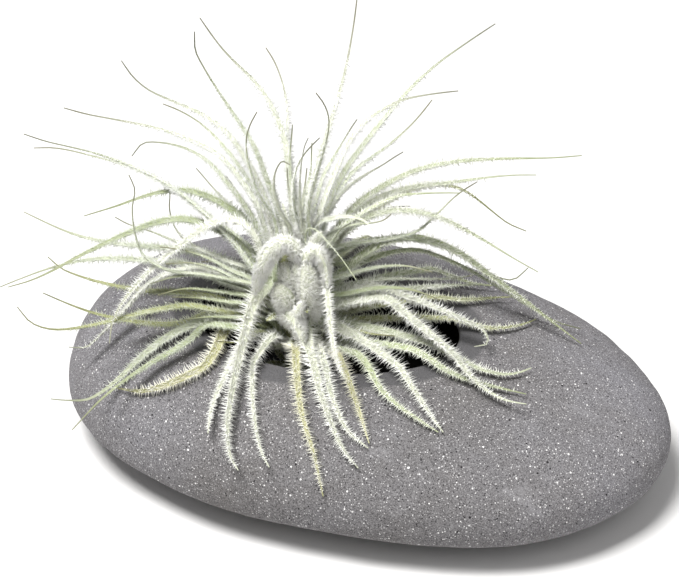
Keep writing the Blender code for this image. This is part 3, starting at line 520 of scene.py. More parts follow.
def ease(lines, widths, fixed, fixed_rad):
    """Slide the thin leaves along their sight lines until they clear the main ones."""
    s = np.linspace(0, 1, STATIONS)
    own = np.array([0.8 * half_width(s, w) for w in widths]) + 0.15
    P = lines.copy()
    for it in range(50):
        flat = P.reshape(-1, 3)
        view = rays(seen_at(flat))
        view /= np.linalg.norm(view, axis=1, keepdims=True)
        d = flat[:, None] - fixed[None]
        dist = np.sqrt((d * d).sum(-1)) + 1e-9
        short = own.reshape(-1)[:, None] + fixed_rad[None] - dist
        k = short.argmax(1)
        worst = np.maximum(short[np.arange(len(flat)), k], 0)
        side = np.sign((d[np.arange(len(flat)), k] * view).sum(1))
        side[side == 0] = 1
        push = (worst * side).reshape(P.shape[:2]) * (s > 0.12)
        for _ in range(3):
            pad = np.pad(push, ((0, 0), (1, 1)), mode="edge")
            push = 0.5 * push + 0.25 * (pad[:, :-2] + pad[:, 2:])
        flat = flat + view * push.reshape(-1)[:, None] * 0.7
        clear = stone_clearance(flat)
        inward = np.maximum((1 - np.sqrt(in_hole(flat))) * 20.0 - 2.6, 0)
        lift = np.clip(own.reshape(-1) + 0.8 - 1.3 * inward - clear, 0, 3.0)
        lift = lift * np.tile(s > 0.1, len(P))
        inside = (in_hole(flat) < 1.0)[:, None]
        flat = flat + np.where(inside, [0.0, 0.0, 1.0], -view) * (lift * 0.9)[:, None]
        P = flat.reshape(P.shape)
    return P


# ---------------------------------------------------------------- mesh helpers
def tri_mesh(name, verts, tris, slots, smooth, tone, mats):
    me = bpy.data.meshes.new(name)
    n = len(tris)
    me.vertices.add(len(verts))
    me.vertices.foreach_set("co", (np.asarray(verts, np.float64) * MM).astype(np.float32).ravel())
    me.loops.add(n * 3)
    me.polygons.add(n)
    me.polygons.foreach_set("loop_start", np.arange(n, dtype=np.int32) * 3)
    me.loops.foreach_set("vertex_index", np.asarray(tris, np.int32).ravel())
    me.polygons.foreach_set("material_index", np.asarray(slots, np.int32))
    me.polygons.foreach_set("use_smooth", np.asarray(smooth, bool))
    me.update(calc_edges=True)
    layer = me.color_attributes.new("tone", "FLOAT_COLOR", "POINT")
    rgba = np.ones((len(verts), 4), np.float32)
    rgba[:, :3] = tone
    layer.data.foreach_set("color", rgba.ravel())
    for m in mats:
        me.materials.append(m)
    obj = bpy.data.objects.new(name, me)
    bpy.context.scene.collection.objects.link(obj)
    return obj


def unit(v):
    return v / np.maximum(np.linalg.norm(v, axis=-1, keepdims=True), 1e-9)


class Shape:
    """Vertices, triangles and tones gathered for one piece."""

    def __init__(self):
        self.v, self.t, self.m, self.s, self.c, self.n = [], [], [], [], [], 0

    def add(self, verts, tris, slot, smooth, tone):
        self.v.append(verts)
        self.t.append(np.asarray(tris) + self.n)
        self.m.append(np.full(len(tris), slot))
        self.s.append(np.full(len(tris), smooth))
        self.c.append(np.broadcast_to(tone, (len(verts), 3)))
        self.n += len(verts)

    def make(self, name, mats):
        return tri_mesh(name, np.vstack(self.v), np.vstack(self.t), np.concatenate(self.m),
                        np.concatenate(self.s), np.vstack(self.c), mats)


def blade_width(s, width, scale, blunt, broad=(0.48, 0.0, 0.13)):
    if blunt:
        return np.maximum(0.5 * width * scale * np.clip(1 - s ** 7.0, 0, 1) ** 0.5
                          * (0.78 + 0.22 * np.sin(np.pi * np.clip(s, 0, 1))), 0.06)
    sheath = 1.0 + broad[0] * np.exp(-((s - broad[1]) / broad[2]) ** 2)
    taper = (1 - s) ** (broad[3] if len(broad) > 3 else 0.66) * 0.96 + 0.04
    return np.maximum(0.5 * width * scale * sheath * taper, (0.19 if width > 0.6 else 0.10) - 0.06 * np.clip(s * 20 - 19, 0, 1))


def channel(u, s, blunt):
    """Rise of the blade's face above its midline, in half widths."""
    deep = 0.16 if blunt else 0.62 - 0.22 * s
    return deep * np.abs(u) ** 1.8


def add_blade(shape, line, width, scale, rnd, dark_tip=0.0, blunt=False, thick=0.55, broad=(0.48, 0.0, 0.13)):
    T, B, N = leaf_frames(line)
    s = np.linspace(0, 1, len(line))
    hw = blade_width(s, width, scale, blunt, broad)
    top_u = np.linspace(-1, 1, 8)
    low_u = np.linspace(0.8, -0.8, 6)
    u = np.r_[top_u, low_u]
    is_low = np.r_[np.zeros(8), np.ones(6)]
    th = np.maximum(thick * (0.25 + 0.75 * (1 - s)), 0.16) * (1.0 if not blunt else 2.4)
    th = np.minimum(th, hw * 1.5 + 0.05)
    if blunt:
        th = hw * 1.1
    off_b = hw[:, None] * u[None]
    rise = channel(u[None], s[:, None], blunt) * hw[:, None]
    off_n = rise - is_low[None] * th[:, None] * (1 - 0.55 * np.abs(u[None]) ** 2)
    if blunt:
        off_n = off_n + (1 - is_low[None]) * hw[:, None] * 0.55 * (1 - u[None] ** 2)
    ring = line[:, None] + B[:, None] * off_b[..., None] + N[:, None] * off_n[..., None]
    K, S = ring.shape[:2]
    verts = ring.reshape(-1, 3)
    a = np.arange(K - 1)[:, None] * S + np.arange(S)[None]
    b = np.arange(K - 1)[:, None] * S + (np.arange(S)[None] + 1) % S
    c, d = a + S, b + S
    tris = np.concatenate([np.stack([a, b, d], -1).reshape(-1, 3),
                           np.stack([a, d, c], -1).reshape(-1, 3)])
    ends = np.vstack([ring[0].mean(0), line[-1] + T[-1] * hw[-1] * 1.5])
    base = np.stack([(np.arange(S) + 1) % S, np.arange(S), np.full(S, K * S)], -1)
    tip = np.stack([(K - 1) * S + np.arange(S), (K - 1) * S + (np.arange(S) + 1) % S,
                    np.full(S, K * S + 1)], -1)
    tone = np.zeros((K * S + 2, 3))
    tone[:K * S, 0] = np.repeat(0.3 + 0.6 * s if blunt else s, S)
    tone[-2:, 0] = (0.3, 0.9) if blunt else (0.0, 1.0)
    tone[:, 1] = rnd
    tone[:, 2] = dark_tip
    shape.add(np.vstack([verts, ends]), np.vstack([tris, base, tip]), 0, True, tone)
    return T, B, N, s, hw, th


def add_fur(shape, line, frames, count, length, rnd, blunt=False, bare=None,
            density=1.0, long_share=LONG_SHARE, lie=1.5, slot=1, slender=1.0, painted_shade=0.0):
    """Hairs as slim pointed prisms: a felt of short ones lying towards the tip, spikes
    standing out of both margins at even steps, and spikes standing on the faces."""
    T, B, N, s, hw, th = frames
    K = len(line)
    run = np.linalg.norm(np.diff(line, axis=0), axis=1).sum()
    if blunt:
        parts = (0, int(count * long_share), int(count * (1 - long_share)))
    else:
        parts = (int(run * EDGE_STEP * density), int(run * FACE_STEP * density), count)
    kind = np.repeat([0, 1, 2], parts)
    count = len(kind)
    fade = 1.0 if blunt else (np.clip((1.0 - s) * 14.0, 0, 1) if bare is None else np.clip((bare - s) * 4.0, 0, 1))
    place = []
    for k, n in enumerate(parts):
        dens = ((hw + 0.35) if k == 2 or blunt else np.ones(K)) * fade
        cum = np.cumsum(dens)
        even = (np.arange(n) + 0.5 + 0.8 * (RNG.random(n) - 0.5)) / max(n, 1)
        place.append(np.interp(even, np.r_[0, cum / cum[-1]], np.arange(K + 1)))
    f = np.clip(np.concatenate(place) - 0.5, 0, K - 1.001)
    i = f.astype(int)
    w = (f - i)[:, None]

    def at(arr):
        return arr[i] * (1 - w) + arr[i + 1] * w

    t, b, n, p = unit(at(T)), unit(at(B)), unit(at(N)), at(line)
    sw = s[i] * (1 - w[:, 0]) + s[i + 1] * w[:, 0]
    h = hw[i] * (1 - w[:, 0]) + hw[i + 1] * w[:, 0]
    thick_here = th[i] * (1 - w[:, 0]) + th[i + 1] * w[:, 0]
    spike = kind < 2
    r = RNG.random(count) * 2 - 1
    other = np.where(np.arange(count) % 2 == 0, 1.0, -1.0)
    u = np.where(kind == 0, other * (0.84 + 0.16 * np.abs(r)), np.sign(r) * np.abs(r) ** 0.85)
    low = np.where(kind == 0, r > 0.2, RNG.random(count) < 0.46)
    rise = channel(u, sw, blunt) * h
    if blunt:
        rise = rise + h * 0.55 * (1 - u * u) * (~low)
    root = p + b * (u * h)[:, None] + n * (rise - low * thick_here * (1 - 0.55 * u * u))[:, None]
    edge = np.abs(u) ** 3
    slope = (-0.9 if blunt else 0.9) * u
    up = np.where(low, -1.0, 1.0)
    face = unit(n * up[:, None] - b * (slope * up)[:, None])
    d = unit(face * (1 - edge)[:, None] + b * (np.sign(u) * edge * 1.35)[:, None])
    tilt = np.choose(kind, [0.22 + RNG.normal(0, 0.20, count), 0.70 + RNG.normal(0, 0.40, count),
                            lie + RNG.normal(0, 0.35, count)])
    if blunt:
        tilt = tilt + 3.5 * np.clip(sw - 0.80, 0, 1)
    wander = np.choose(kind, [0.17, 0.50, 0.60] if blunt else [0.17, 0.38, 0.36])[:, None]
    d = unit(d + t * tilt[:, None] + RNG.normal(0, 1.0, (count, 3)) * wander)
    grow = np.choose(kind, [0.78 + 0.34 * RNG.random(count), 0.62 + 0.38 * RNG.random(count),
                            (0.46 if blunt else 0.34) + 0.26 * RNG.random(count)])
    size = length * grow * (1 - 0.55 * np.clip((sw - 0.5) / 0.5, 0, 1) ** 1.2)
    if not blunt:
        size = size * np.clip(0.55 + sw * 6, 0, 1)
    tipv = root + d * size[:, None]
    e1 = unit(np.cross(d, t + 0.3 * n))
    e2 = np.cross(d, e1)
    rad = slender * (np.choose(kind, SPIKE_RADIUS) * (0.8 + 0.4 * RNG.random(count)))[:, None]
    base = root - d * 0.10
    tri = np.stack([base + (e1 * math.cos(a) + e2 * math.sin(a)) * rad
                    for a in (0.0, 2 * math.pi / 3, 4 * math.pi / 3)], 1)
    verts = np.concatenate([tri, tipv[:, None]], 1).reshape(-1, 3)
    k = np.arange(count)[:, None] * 4
    tris = np.concatenate([k + [0, 1, 3], k + [1, 2, 3], k + [2, 0, 3]])
    # painted shade: blue of the tone runs dark at each hair's root and light at its tip, and the short felt hairs stay
    # darker than the spikes, standing in for shade deep in the fur
    tone = np.zeros((count, 4, 3))
    tone[:, :, 0] = (0.3 + 0.6 * sw if blunt else sw)[:, None]
    tone[:, :, 1] = rnd
    # painted shade for whole buds lowers the tone further
    tone[:, :3, 2] = (np.where(spike, 0.48, 0.15) - 0.15 * painted_shade)[:, None]
    tone[:, 3, 2] = np.where(spike, 1.0, 0.62) - 0.20 * painted_shade
    shape.add(verts, tris, slot, True, tone.reshape(-1, 3))


# ------------------------------------------------------------------ materials
def new_material(name, rough, spec):
    mat = bpy.data.materials.new(name)
    mat.use_nodes = True
    tree = mat.node_tree
    node = tree.nodes["Principled BSDF"]
    node.inputs["Roughness"].default_value = rough
    node.inputs["Specular IOR Level"].default_value = spec
    return mat, tree, node


def link(tree, a, b):
    tree.links.new(a, b)


def coords(tree, scale=(1, 1, 1), shift=(0, 0, 0)):
    tex = tree.nodes.new("ShaderNodeTexCoord")
    mp = tree.nodes.new("ShaderNodeMapping")
    mp.inputs["Scale"].default_value = scale
    mp.inputs["Location"].default_value = shift
    link(tree, tex.outputs["Object"], mp.inputs["Vector"])
    return mp.outputs["Vector"]


def noise(tree, vec, scale, detail=3.0, rough=0.55):
    n = tree.nodes.new("ShaderNodeTexNoise")
    n.inputs["Scale"].default_value = scale
    n.inputs["Detail"].default_value = detail
    n.inputs["Roughness"].default_value = rough
    link(tree, vec, n.inputs["Vector"])
    return n.outputs["Fac"]


def spread(tree, value, lo, hi, out_lo=0.0, out_hi=1.0):
    m = tree.nodes.new("ShaderNodeMapRange")
    m.clamp = True
    for k, x in (("From Min", lo), ("From Max", hi), ("To Min", out_lo), ("To Max", out_hi)):
        m.inputs[k].default_value = x
    link(tree, value, m.inputs["Value"])
    return m.outputs["Result"]


def maths(tree, op, a, b):
    m = tree.nodes.new("ShaderNodeMath")
    m.operation = op
    for k, x in enumerate((a, b)):
        if isinstance(x, (int, float)):
            m.inputs[k].default_value = x
        else:
            link(tree, x, m.inputs[k])
    return m.outputs["Value"]


def mix(tree, fac, a, b, blend="MIX"):
    m = tree.nodes.new("ShaderNodeMix")
    m.data_type = "RGBA"
    m.blend_type = blend
    sock = {"f": m.inputs[0], "a": m.inputs[6], "b": m.inputs[7]}
    for key, x in (("f", fac), ("a", a), ("b", b)):
        if isinstance(x, (int, float)):
            sock[key].default_value = x
        elif isinstance(x, tuple):
            sock[key].default_value = (*x, 1.0)
        else:
            link(tree, x, sock[key])
    return m.outputs[2]


def tone_of(tree):
    at = tree.nodes.new("ShaderNodeAttribute")
    at.attribute_type = "GEOMETRY"
    at.attribute_name = "tone"
    sep = tree.nodes.new("ShaderNodeSeparateColor")
    link(tree, at.outputs["Color"], sep.inputs["Color"])
    return sep.outputs["Red"], sep.outputs["Green"], sep.outputs["Blue"]


def bump(tree, node, height, strength, distance):
    b = tree.nodes.new("ShaderNodeBump")
    b.inputs["Strength"].default_value = strength
    b.inputs["Distance"].default_value = distance
    link(tree, height, b.inputs["Height"])
    link(tree, b.outputs["Normal"], node.inputs["Normal"])


BLADE = {"white": ((0.66, 0.675, 0.56), (0.50, 0.53, 0.40)),
         "pale": ((0.56, 0.59, 0.44), (0.40, 0.445, 0.29)),
         "green": ((0.46, 0.50, 0.32), (0.31, 0.36, 0.19)),
         "olive": ((0.42, 0.43, 0.22), (0.27, 0.29, 0.115)),
         "tan": ((0.50, 0.49, 0.29), (0.34, 0.34, 0.15))}
# painted shade: greyer copies of the hair colours for leaves lifted off the stone, which seen against the light read
# greyer than the ones lying on the stone
BACKLIT_SHADE_HAIR = {"white": ((0.86, 0.87, 0.83), (0.68, 0.70, 0.63)),
            "pale": ((0.79, 0.81, 0.74), (0.59, 0.62, 0.53)),
            "green": ((0.71, 0.74, 0.64), (0.51, 0.55, 0.43)),
            "olive": ((0.67, 0.69, 0.56), (0.47, 0.50, 0.35))}
TOP_HAIR = {"white": ((0.95, 0.955, 0.945), (0.86, 0.87, 0.845)),
            "pale": ((0.92, 0.93, 0.905), (0.79, 0.81, 0.765)),
            "green": ((0.87, 0.89, 0.84), (0.72, 0.755, 0.67))}
HAIR = {"white": ((0.965, 0.965, 0.945), (0.885, 0.89, 0.835)),
        "pale": ((0.945, 0.95, 0.90), (0.82, 0.84, 0.745)),
        "green": ((0.94, 0.95, 0.885), (0.79, 0.82, 0.69)),
        "olive": ((0.93, 0.935, 0.83), (0.74, 0.76, 0.57)),
        "tan": ((0.95, 0.94, 0.87), (0.82, 0.80, 0.65))}


def blade_material(look):
    mat, tree, node = new_material("leaf_blade_" + look, 0.62, 0.35)
    light, deep = BLADE[look]
    along, leaf_rnd, dark = tone_of(tree)
    vec = coords(tree)
    streak = spread(tree, noise(tree, vec, 420.0, 4.0, 0.6), 0.32, 0.68)
    col = mix(tree, streak, deep, light)
    col = mix(tree, spread(tree, leaf_rnd, 0, 1, 0.0, 0.28), col, tuple(0.75 * x for x in deep))
    # greener and darker in the sheath, straw to olive at the fine tip
    root = spread(tree, along, 0.0, 0.16, 0.55, 0.0)
    col = mix(tree, root, col, (0.20, 0.27, 0.09))
    tip = maths(tree, "MULTIPLY", spread(tree, along, 0.62, 0.97, 0.0, 0.92), dark)
    tipc = mix(tree, spread(tree, leaf_rnd, 0.3, 0.7), (0.080, 0.080, 0.052), (0.125, 0.115, 0.070))
    col = mix(tree, tip, col, tipc)
    link(tree, col, node.inputs["Base Color"])
    node.inputs["Subsurface Weight"].default_value = 0.0
    fine = noise(tree, coords(tree, (1, 1, 1), (0.3, 0.1, 0.2)), 1500.0, 2.0, 0.5)
    bump(tree, node, fine, 0.35, 0.0002)
    return mat


def hair_material(look, name, table):
    mat, tree, node = new_material(name + look, 0.72, 0.25)
    bright, dull = table[look]
    along, leaf_rnd, root_tip_shade = tone_of(tree)
    vec = coords(tree)
    patch = spread(tree, noise(tree, vec, 260.0, 2.0, 0.5), 0.35, 0.65)
    col = mix(tree, patch, dull, bright)
    # painted shade: darker towards each hair's root and in the felt
    col = mix(tree, spread(tree, root_tip_shade, 0.0, 0.85, 0.80, 0.0), col, tuple(x * y for x, y in zip(dull, (0.69, 0.70, 0.60))))
    col = mix(tree, spread(tree, along, 0.0, 0.14, 0.40, 0.0), col, tuple(x * y for x, y in zip(dull, (0.74, 0.80, 0.60))))
    link(tree, col, node.inputs["Base Color"])
    node.inputs["Sheen Weight"].default_value = 0.15
    return mat


BLADES = {k: blade_material(k) for k in BLADE}
HAIRS = {k: hair_material(k, "leaf_hair_", HAIR) for k in HAIR}
TOPS = {k: hair_material(k, "top_hair_", TOP_HAIR) for k in TOP_HAIR}
AIRS = {k: hair_material(k, "lifted_shaded_hair_", BACKLIT_SHADE_HAIR) for k in BACKLIT_SHADE_HAIR}


def speck(tree, cell, power, size, shift, sharp=9.0):
    """Mask of scattered grains; most cells hold none, a few hold a big one."""
    v = tree.nodes.new("ShaderNodeTexVoronoi")
    v.feature = "F1"
    v.inputs["Scale"].default_value = cell
    link(tree, coords(tree, (1, 1, 1), shift), v.inputs["Vector"])
    sep = tree.nodes.new("ShaderNodeSeparateColor")
    link(tree, v.outputs["Color"], sep.inputs["Color"])
    grow = maths(tree, "MULTIPLY", maths(tree, "POWER", sep.outputs["Red"], power), size)
    gap = maths(tree, "SUBTRACT", grow, v.outputs["Distance"])
    m = maths(tree, "MULTIPLY", gap, sharp)
    m = spread(tree, m, 0.0, 1.0)
    return m, sep.outputs["Green"]


def stone_material():
    mat, tree, node = new_material("cast_stone", 0.88, 0.28)
    rim, inside, _ = tone_of(tree)
    vec = coords(tree)
    blotch = noise(tree, vec, 34.0, 4.0, 0.6)
    cloud = noise(tree, coords(tree, (1, 1, 1), (0.4, 0.2, 0.7)), 110.0, 3.0, 0.55)
    grain = noise(tree, vec, 3400.0, 1.0, 0.5)
    grit = noise(tree, coords(tree, (1, 1, 1), (0.7, 0.1, 0.4)), 2400.0, 1.0, 0.5)
    col = mix(tree, spread(tree, blotch, 0.3, 0.7), (0.140, 0.132, 0.129), (0.166, 0.161, 0.168))
    col = mix(tree, spread(tree, cloud, 0.45, 0.8, 0.0, 0.30), col, (0.225, 0.222, 0.234))
    col = mix(tree, spread(tree, grain, 0.42, 0.52, 0.72, 0.0), col, (0.050, 0.047, 0.048))
    col = mix(tree, spread(tree, grit, 0.55, 0.62, 0.0, 0.28), col, (0.34, 0.335, 0.34))
    w1, t1 = speck(tree, 1000.0, 5.0, 0.31, (0.11, 0.37, 0.21), 22.0)
    w2, t2 = speck(tree, 1800.0, 0.8, 0.36, (0.51, 0.13, 0.77), 18.0)
    b1, _ = speck(tree, 820.0, 6.0, 0.29, (0.91, 0.63, 0.35), 22.0)
    b2, _ = speck(tree, 1400.0, 1.1, 0.36, (0.23, 0.83, 0.15), 16.0)
    # painted light: the ends of the stone are painted paler and cooler than its front, standing in for the brighter
    # light on its sides
    lit_ends_zone = tree.nodes.new("ShaderNodeTexGradient")
    lit_ends_zone.gradient_type = "SPHERICAL"
    link(tree, coords(tree, (11.0, 11.0, 11.0), (-0.10, 0.45, -0.30)), lit_ends_zone.inputs["Vector"])
    ends = spread(tree, lit_ends_zone.outputs["Fac"], 0.10, 0.62, 1.0, 0.0)
    col = mix(tree, ends, col, mix(tree, 1.0, col, (1.34, 1.35, 1.40), "MULTIPLY"))
    plain = spread(tree, rim, 0.25, 0.75, 1.0, 0.10)
    col = mix(tree, maths(tree, "MULTIPLY", maths(tree, "MULTIPLY", b2, spread(tree, ends, 0.0, 1.0, 0.95, 0.70)), plain), col, (0.030, 0.028, 0.030))
    col = mix(tree, maths(tree, "MULTIPLY", maths(tree, "MULTIPLY", w2, spread(tree, t2, 0, 1, 0.10, 1.0)), plain), col, (0.66, 0.65, 0.65))
    col = mix(tree, maths(tree, "MULTIPLY", b1, plain), col, (0.018, 0.016, 0.018))
    col = mix(tree, maths(tree, "MULTIPLY", maths(tree, "MULTIPLY", w1, spread(tree, t1, 0, 1, 0.6, 1.0)), plain), col, (0.84, 0.83, 0.82))
    # handled, paler scuffs
    scuff = noise(tree, coords(tree, (0.5, 1.6, 1.0), (0.2, 0.5, 0.1)), 60.0, 5.0, 0.72)
    scuff = maths(tree, "MULTIPLY", spread(tree, scuff, 0.60, 0.74, 0.0, 0.38), plain)
    col = mix(tree, scuff, col, (0.38, 0.375, 0.39))
    # eased, smoother band round the opening
    band = mix(tree, spread(tree, grain, 0.35, 0.65), (0.068, 0.067, 0.069), (0.092, 0.090, 0.095))
    col = mix(tree, spread(tree, rim, 0.2, 0.8, 0.0, 0.86), col, band)
    # painted shade: the inside of the opening is coloured near black, standing in for the shade in the hole
    dark = mix(tree, spread(tree, grain, 0.3, 0.7), (0.006, 0.006, 0.006), (0.014, 0.0135, 0.0135))
    col = mix(tree, inside, col, dark)
    link(tree, col, node.inputs["Base Color"])
    h = maths(tree, "ADD", maths(tree, "MULTIPLY", grit, 0.6), maths(tree, "MULTIPLY", grain, 0.3))
    h = maths(tree, "SUBTRACT", h, maths(tree, "MULTIPLY", b1, 0.8))
    h = maths(tree, "ADD", h, maths(tree, "MULTIPLY", w1, 0.25))
    bump(tree, node, h, 0.5, 0.00022)
    return mat


# ---------------------------------------------------------------------- stone
WALL = 5.0
LIP = 1.7


def stone_top(x, y):
    X, Y = stone_unit(x, y)
    r = np.maximum(1 - X * X - Y * Y, 0)
    return STONE_LEVEL + STONE_RISE * (1 + STONE_LEAN * X) * np.sqrt(r) ** STONE_ROUND


def hole_point(angle, grow=0.0):
    c, s = math.cos(HOLE_TURN), math.sin(HOLE_TURN)
    a = (HOLE_HALF[0] + grow) * np.cos(angle)
    b = (HOLE_HALF[1] + grow) * np.sin(angle)
    return HOLE_CENTRE[0] + a * c - b * s, HOLE_CENTRE[1] + a * s + b * c


def equator_point(angle, part=1.0):
    X = np.cos(angle) * part
    wide = 1 + STONE_EGG * X + STONE_SHOULDER * (X * X - 0.4)
    return STONE_HALF_LENGTH * X, STONE_HALF_WIDTH * wide * np.sin(angle) * part


def ripple(p, scale, seed):
    """Smooth pseudo-random field from a few crossing waves."""
    r = np.random.default_rng(seed)
    out = np.zeros(len(p))
    for _ in range(9):
        k = unit(r.normal(size=3)[None])[0] * (0.6 + 0.9 * r.random()) / scale
        out += np.sin(p @ k * 2 * math.pi + r.random() * 6.3)
    return out / 4.0


def stone_piece():
    A = 340
    ang = np.linspace(0, 2 * math.pi, A, endpoint=False)
    rows, rims, ins, skin = [], [], [], []
    flat = math.sqrt(1 - (STONE_LEVEL / STONE_DROP) ** (2 / STONE_ROUND))
    edge = math.acos(flat)
    for part in (0.35, 0.7):
        x, y = equator_point(ang, flat * part)
        rows.append(np.stack([x, y, np.zeros(A)], -1)); rims.append(0); ins.append(0); skin.append(0)
    for c in np.linspace(0, 1, 24):
        lift = edge * (1 - c)
        x, y = equator_point(ang, math.cos(lift))
        z = np.full(A, max(STONE_LEVEL - STONE_DROP * math.sin(lift) ** STONE_ROUND, 0.0))
        rows.append(np.stack([x, y, z], -1)); rims.append(0); ins.append(0); skin.append(1 if c > 0.05 else 0)
    ex, ey = equator_point(ang)
    hx, hy = hole_point(ang - HOLE_TURN, LIP)
    for c in np.linspace(0, 1, 78)[1:]:
        m = 1 - np.cos(c * math.pi / 2)
        x, y = ex + (hx - ex) * m, ey + (hy - ey) * m
        rows.append(np.stack([x, y, stone_top(x, y)], -1))
        near = np.clip(1 - np.hypot(x - hx, y - hy) / 6.2, 0, 1)
        rows[-1][:, 2] -= 0.9 * near ** 1.6
        rims.append(np.clip(near * 3.0, 0, 1)); ins.append(0); skin.append(1)
    ix, iy = hole_point(ang - HOLE_TURN)
    crest = stone_top(hx, hy)
    for roll in np.linspace(0, 1, 8)[1:]:
        turn = roll * math.pi / 2
        k = math.sin(turn)
        rows.append(np.stack([hx + (ix - hx) * k, hy + (iy - hy) * k, crest - 0.9 * (1 - roll) - LIP * (1 - math.cos(turn))], -1))
        rims.append(1); ins.append(max(0.0, roll * 1.6 - 0.9)); skin.append(0)
    jx, jy = equator_point(ang, 1 - 1.5 * WALL / STONE_HALF_WIDTH)
    cx, cy = HOLE_CENTRE[0] * 0.5, HOLE_CENTRE[1] * 0.5
    floor, top = WALL + 1.0, crest - LIP
    for fall in np.linspace(0, 1, 26)[1:-1]:
        turn = fall * math.pi / 2
        belly = 0.66 * math.sin(min(fall * 2.1, 1.0) * math.pi / 2)
        gather = (1 - math.cos(turn)) ** 1.6
        x = (ix + (jx - ix) * belly) * (1 - gather) + cx * gather
        y = (iy + (jy - iy) * belly) * (1 - gather) + cy * gather
        rows.append(np.stack([x, y, floor + (top - floor) * (1 - math.sin(turn))], -1))
        rims.append(0.6); ins.append(1); skin.append(0)
    K = len(rows)
    grid = np.array(rows)
    tang_a = np.roll(grid, -1, 1) - np.roll(grid, 1, 1)
    tang_r = np.gradient(grid, axis=0)
    nor = unit(np.cross(tang_a, tang_r))
    p = grid.reshape(-1, 3)
    amount = 0.30 * ripple(p, 34.0, 3) + 0.085 * ripple(p, 9.0, 5) + 0.035 * ripple(p, 3.2, 8)
    mask = np.repeat(np.array([1.0 if s else 0.0 for s in skin]), A)
    low = np.clip(p[:, 2] / 4.0, 0, 1)
    grid = (p + nor.reshape(-1, 3) * (amount * mask * low)[:, None]).reshape(K, A, 3)
    a = np.arange(K - 1)[:, None] * A + np.arange(A)[None]
    b = np.arange(K - 1)[:, None] * A + (np.arange(A)[None] + 1) % A
    c, d = a + A, b + A
    tris = np.concatenate([np.stack([a, b, d], -1).reshape(-1, 3), np.stack([a, d, c], -1).reshape(-1, 3)])
    ends = np.array([[0.0, 0.0, 0.0], [cx, cy, floor]])
    first = np.stack([(np.arange(A) + 1) % A, np.arange(A), np.full(A, K * A)], -1)
    last = np.stack([(K - 1) * A + np.arange(A), (K - 1) * A + (np.arange(A) + 1) % A, np.full(A, K * A + 1)], -1)
    tone = np.zeros((K * A + 2, 3))
    tone[:K * A, 0] = np.concatenate([np.broadcast_to(r, A) for r in rims])
    # tone green: how much of the painted shade a row takes, near black inside the opening and starting part way round
    # the lip
    tone[:K * A, 1] = np.repeat(np.array(ins, float), A)
    tone[-1] = (0, 1, 0)
    tris = np.vstack([tris, first, last])
    verts = np.vstack([grid.reshape(-1, 3), ends])
    v0, v1, v2 = verts[tris[:, 0]], verts[tris[:, 1]], verts[tris[:, 2]]
    if (np.cross(v0, v1) * v2).sum() < 0:
        tris = tris[:, ::-1]
    obj = tri_mesh("pebble_planter", verts, tris, np.zeros(len(tris)), np.ones(len(tris), bool), tone,
                   [stone_material()])
    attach(obj, BODY)
    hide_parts("stone_planter")
    return obj


stone_piece()

# ----------------------------------------------------------------- the leaves
FINE = 36
settled, _, _ = settle(first_midlines())
half = []
s15 = np.linspace(0, 1, STATIONS)
fixed, fixed_rad = [], []
for row, line in zip(LEAVES, settled):
    both = smooth_curve(line, 2 * STATIONS - 1)
    fixed.append(both)
    fixed_rad.append(0.75 * half_width(np.linspace(0, 1, 2 * STATIONS - 1), row[2]))
fixed, fixed_rad = np.vstack(fixed), np.concatenate(fixed_rad)
thin = ease(np.array([midline(r) for r in EXTRA]), [r[2] for r in EXTRA], fixed, fixed_rad)

jobs = [(row, line, True) for row, line in zip(LEAVES, settled)]
jobs += [(row, line, False) for row, line in zip(EXTRA, thin)]


def family(name):
    return name.split("_")[1] if name.startswith("leaf") else name.split("_")[0]


def need(row, line):
    scale, _ = GROUP_SCALE[family(row[0])]
    s = np.linspace(0, 1, len(line))
    run = np.linalg.norm(np.diff(line, axis=0), axis=1).sum()
    return run * (blade_width(s, row[2], scale, False).mean() + 0.45) * LOOK_HAIR[row[1]][1]


total = sum(need(r, l) for r, l, _ in jobs)
for row, line, in_cad in jobs:
    name, look, width = row[:3]
    rule = row[4]
    scale, length = GROUP_SCALE[family(name)]
    slim = (0.48, 0.0, 0.13, 1.0) if family(name) == "upper" else (0.48, 0.0, 0.13)
    if rule == "d" and family(name) in ("left", "thin", "right"):      # lifted clear of the stone
        scale, length, slim = scale * 0.88, length * 0.82, (0.48, 0.0, 0.13, 0.85)
    elif family(name) == "left":
        scale, length = scale * 1.22, length * 1.12
    length *= LOOK_HAIR[look][0] * LONG_FUR.get(name, 1.0)
    fine = smooth_curve(line, FINE)
    shape = Shape()
    rnd = float(RNG.random())
    kin = family(name)
    frames = add_blade(shape, fine, width, scale, rnd, 0.1 if name in PLAIN_TIP else DARK_TIP[kin], broad=BROAD.get(name, slim))
    count = int(HAIR_BUDGET * need(row, line) / total)
    if width < 0.6:
        count = count // 6
    add_fur(shape, fine, frames, count, length, rnd, density=LOOK_HAIR[look][1] * (1.0 if width > 0.6 else 0.3),
            slender=0.80 if kin in ("upper", "thin") else 1.0,
            bare=None if kin == "front" else (0.97 if rule == "h" else 0.83))
    # leaves lifted off the stone take the greyer painted shade copies of the hair colours
    hairs = AIRS if rule == "d" and look in AIRS and kin != "right" else HAIRS
    if kin == "upper":
        hairs = TOPS if look in TOPS else HAIRS
    obj = shape.make("furred_" + name, [BLADES[look], hairs[look]])
    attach(obj, BODY)
    if in_cad:
        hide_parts(name)


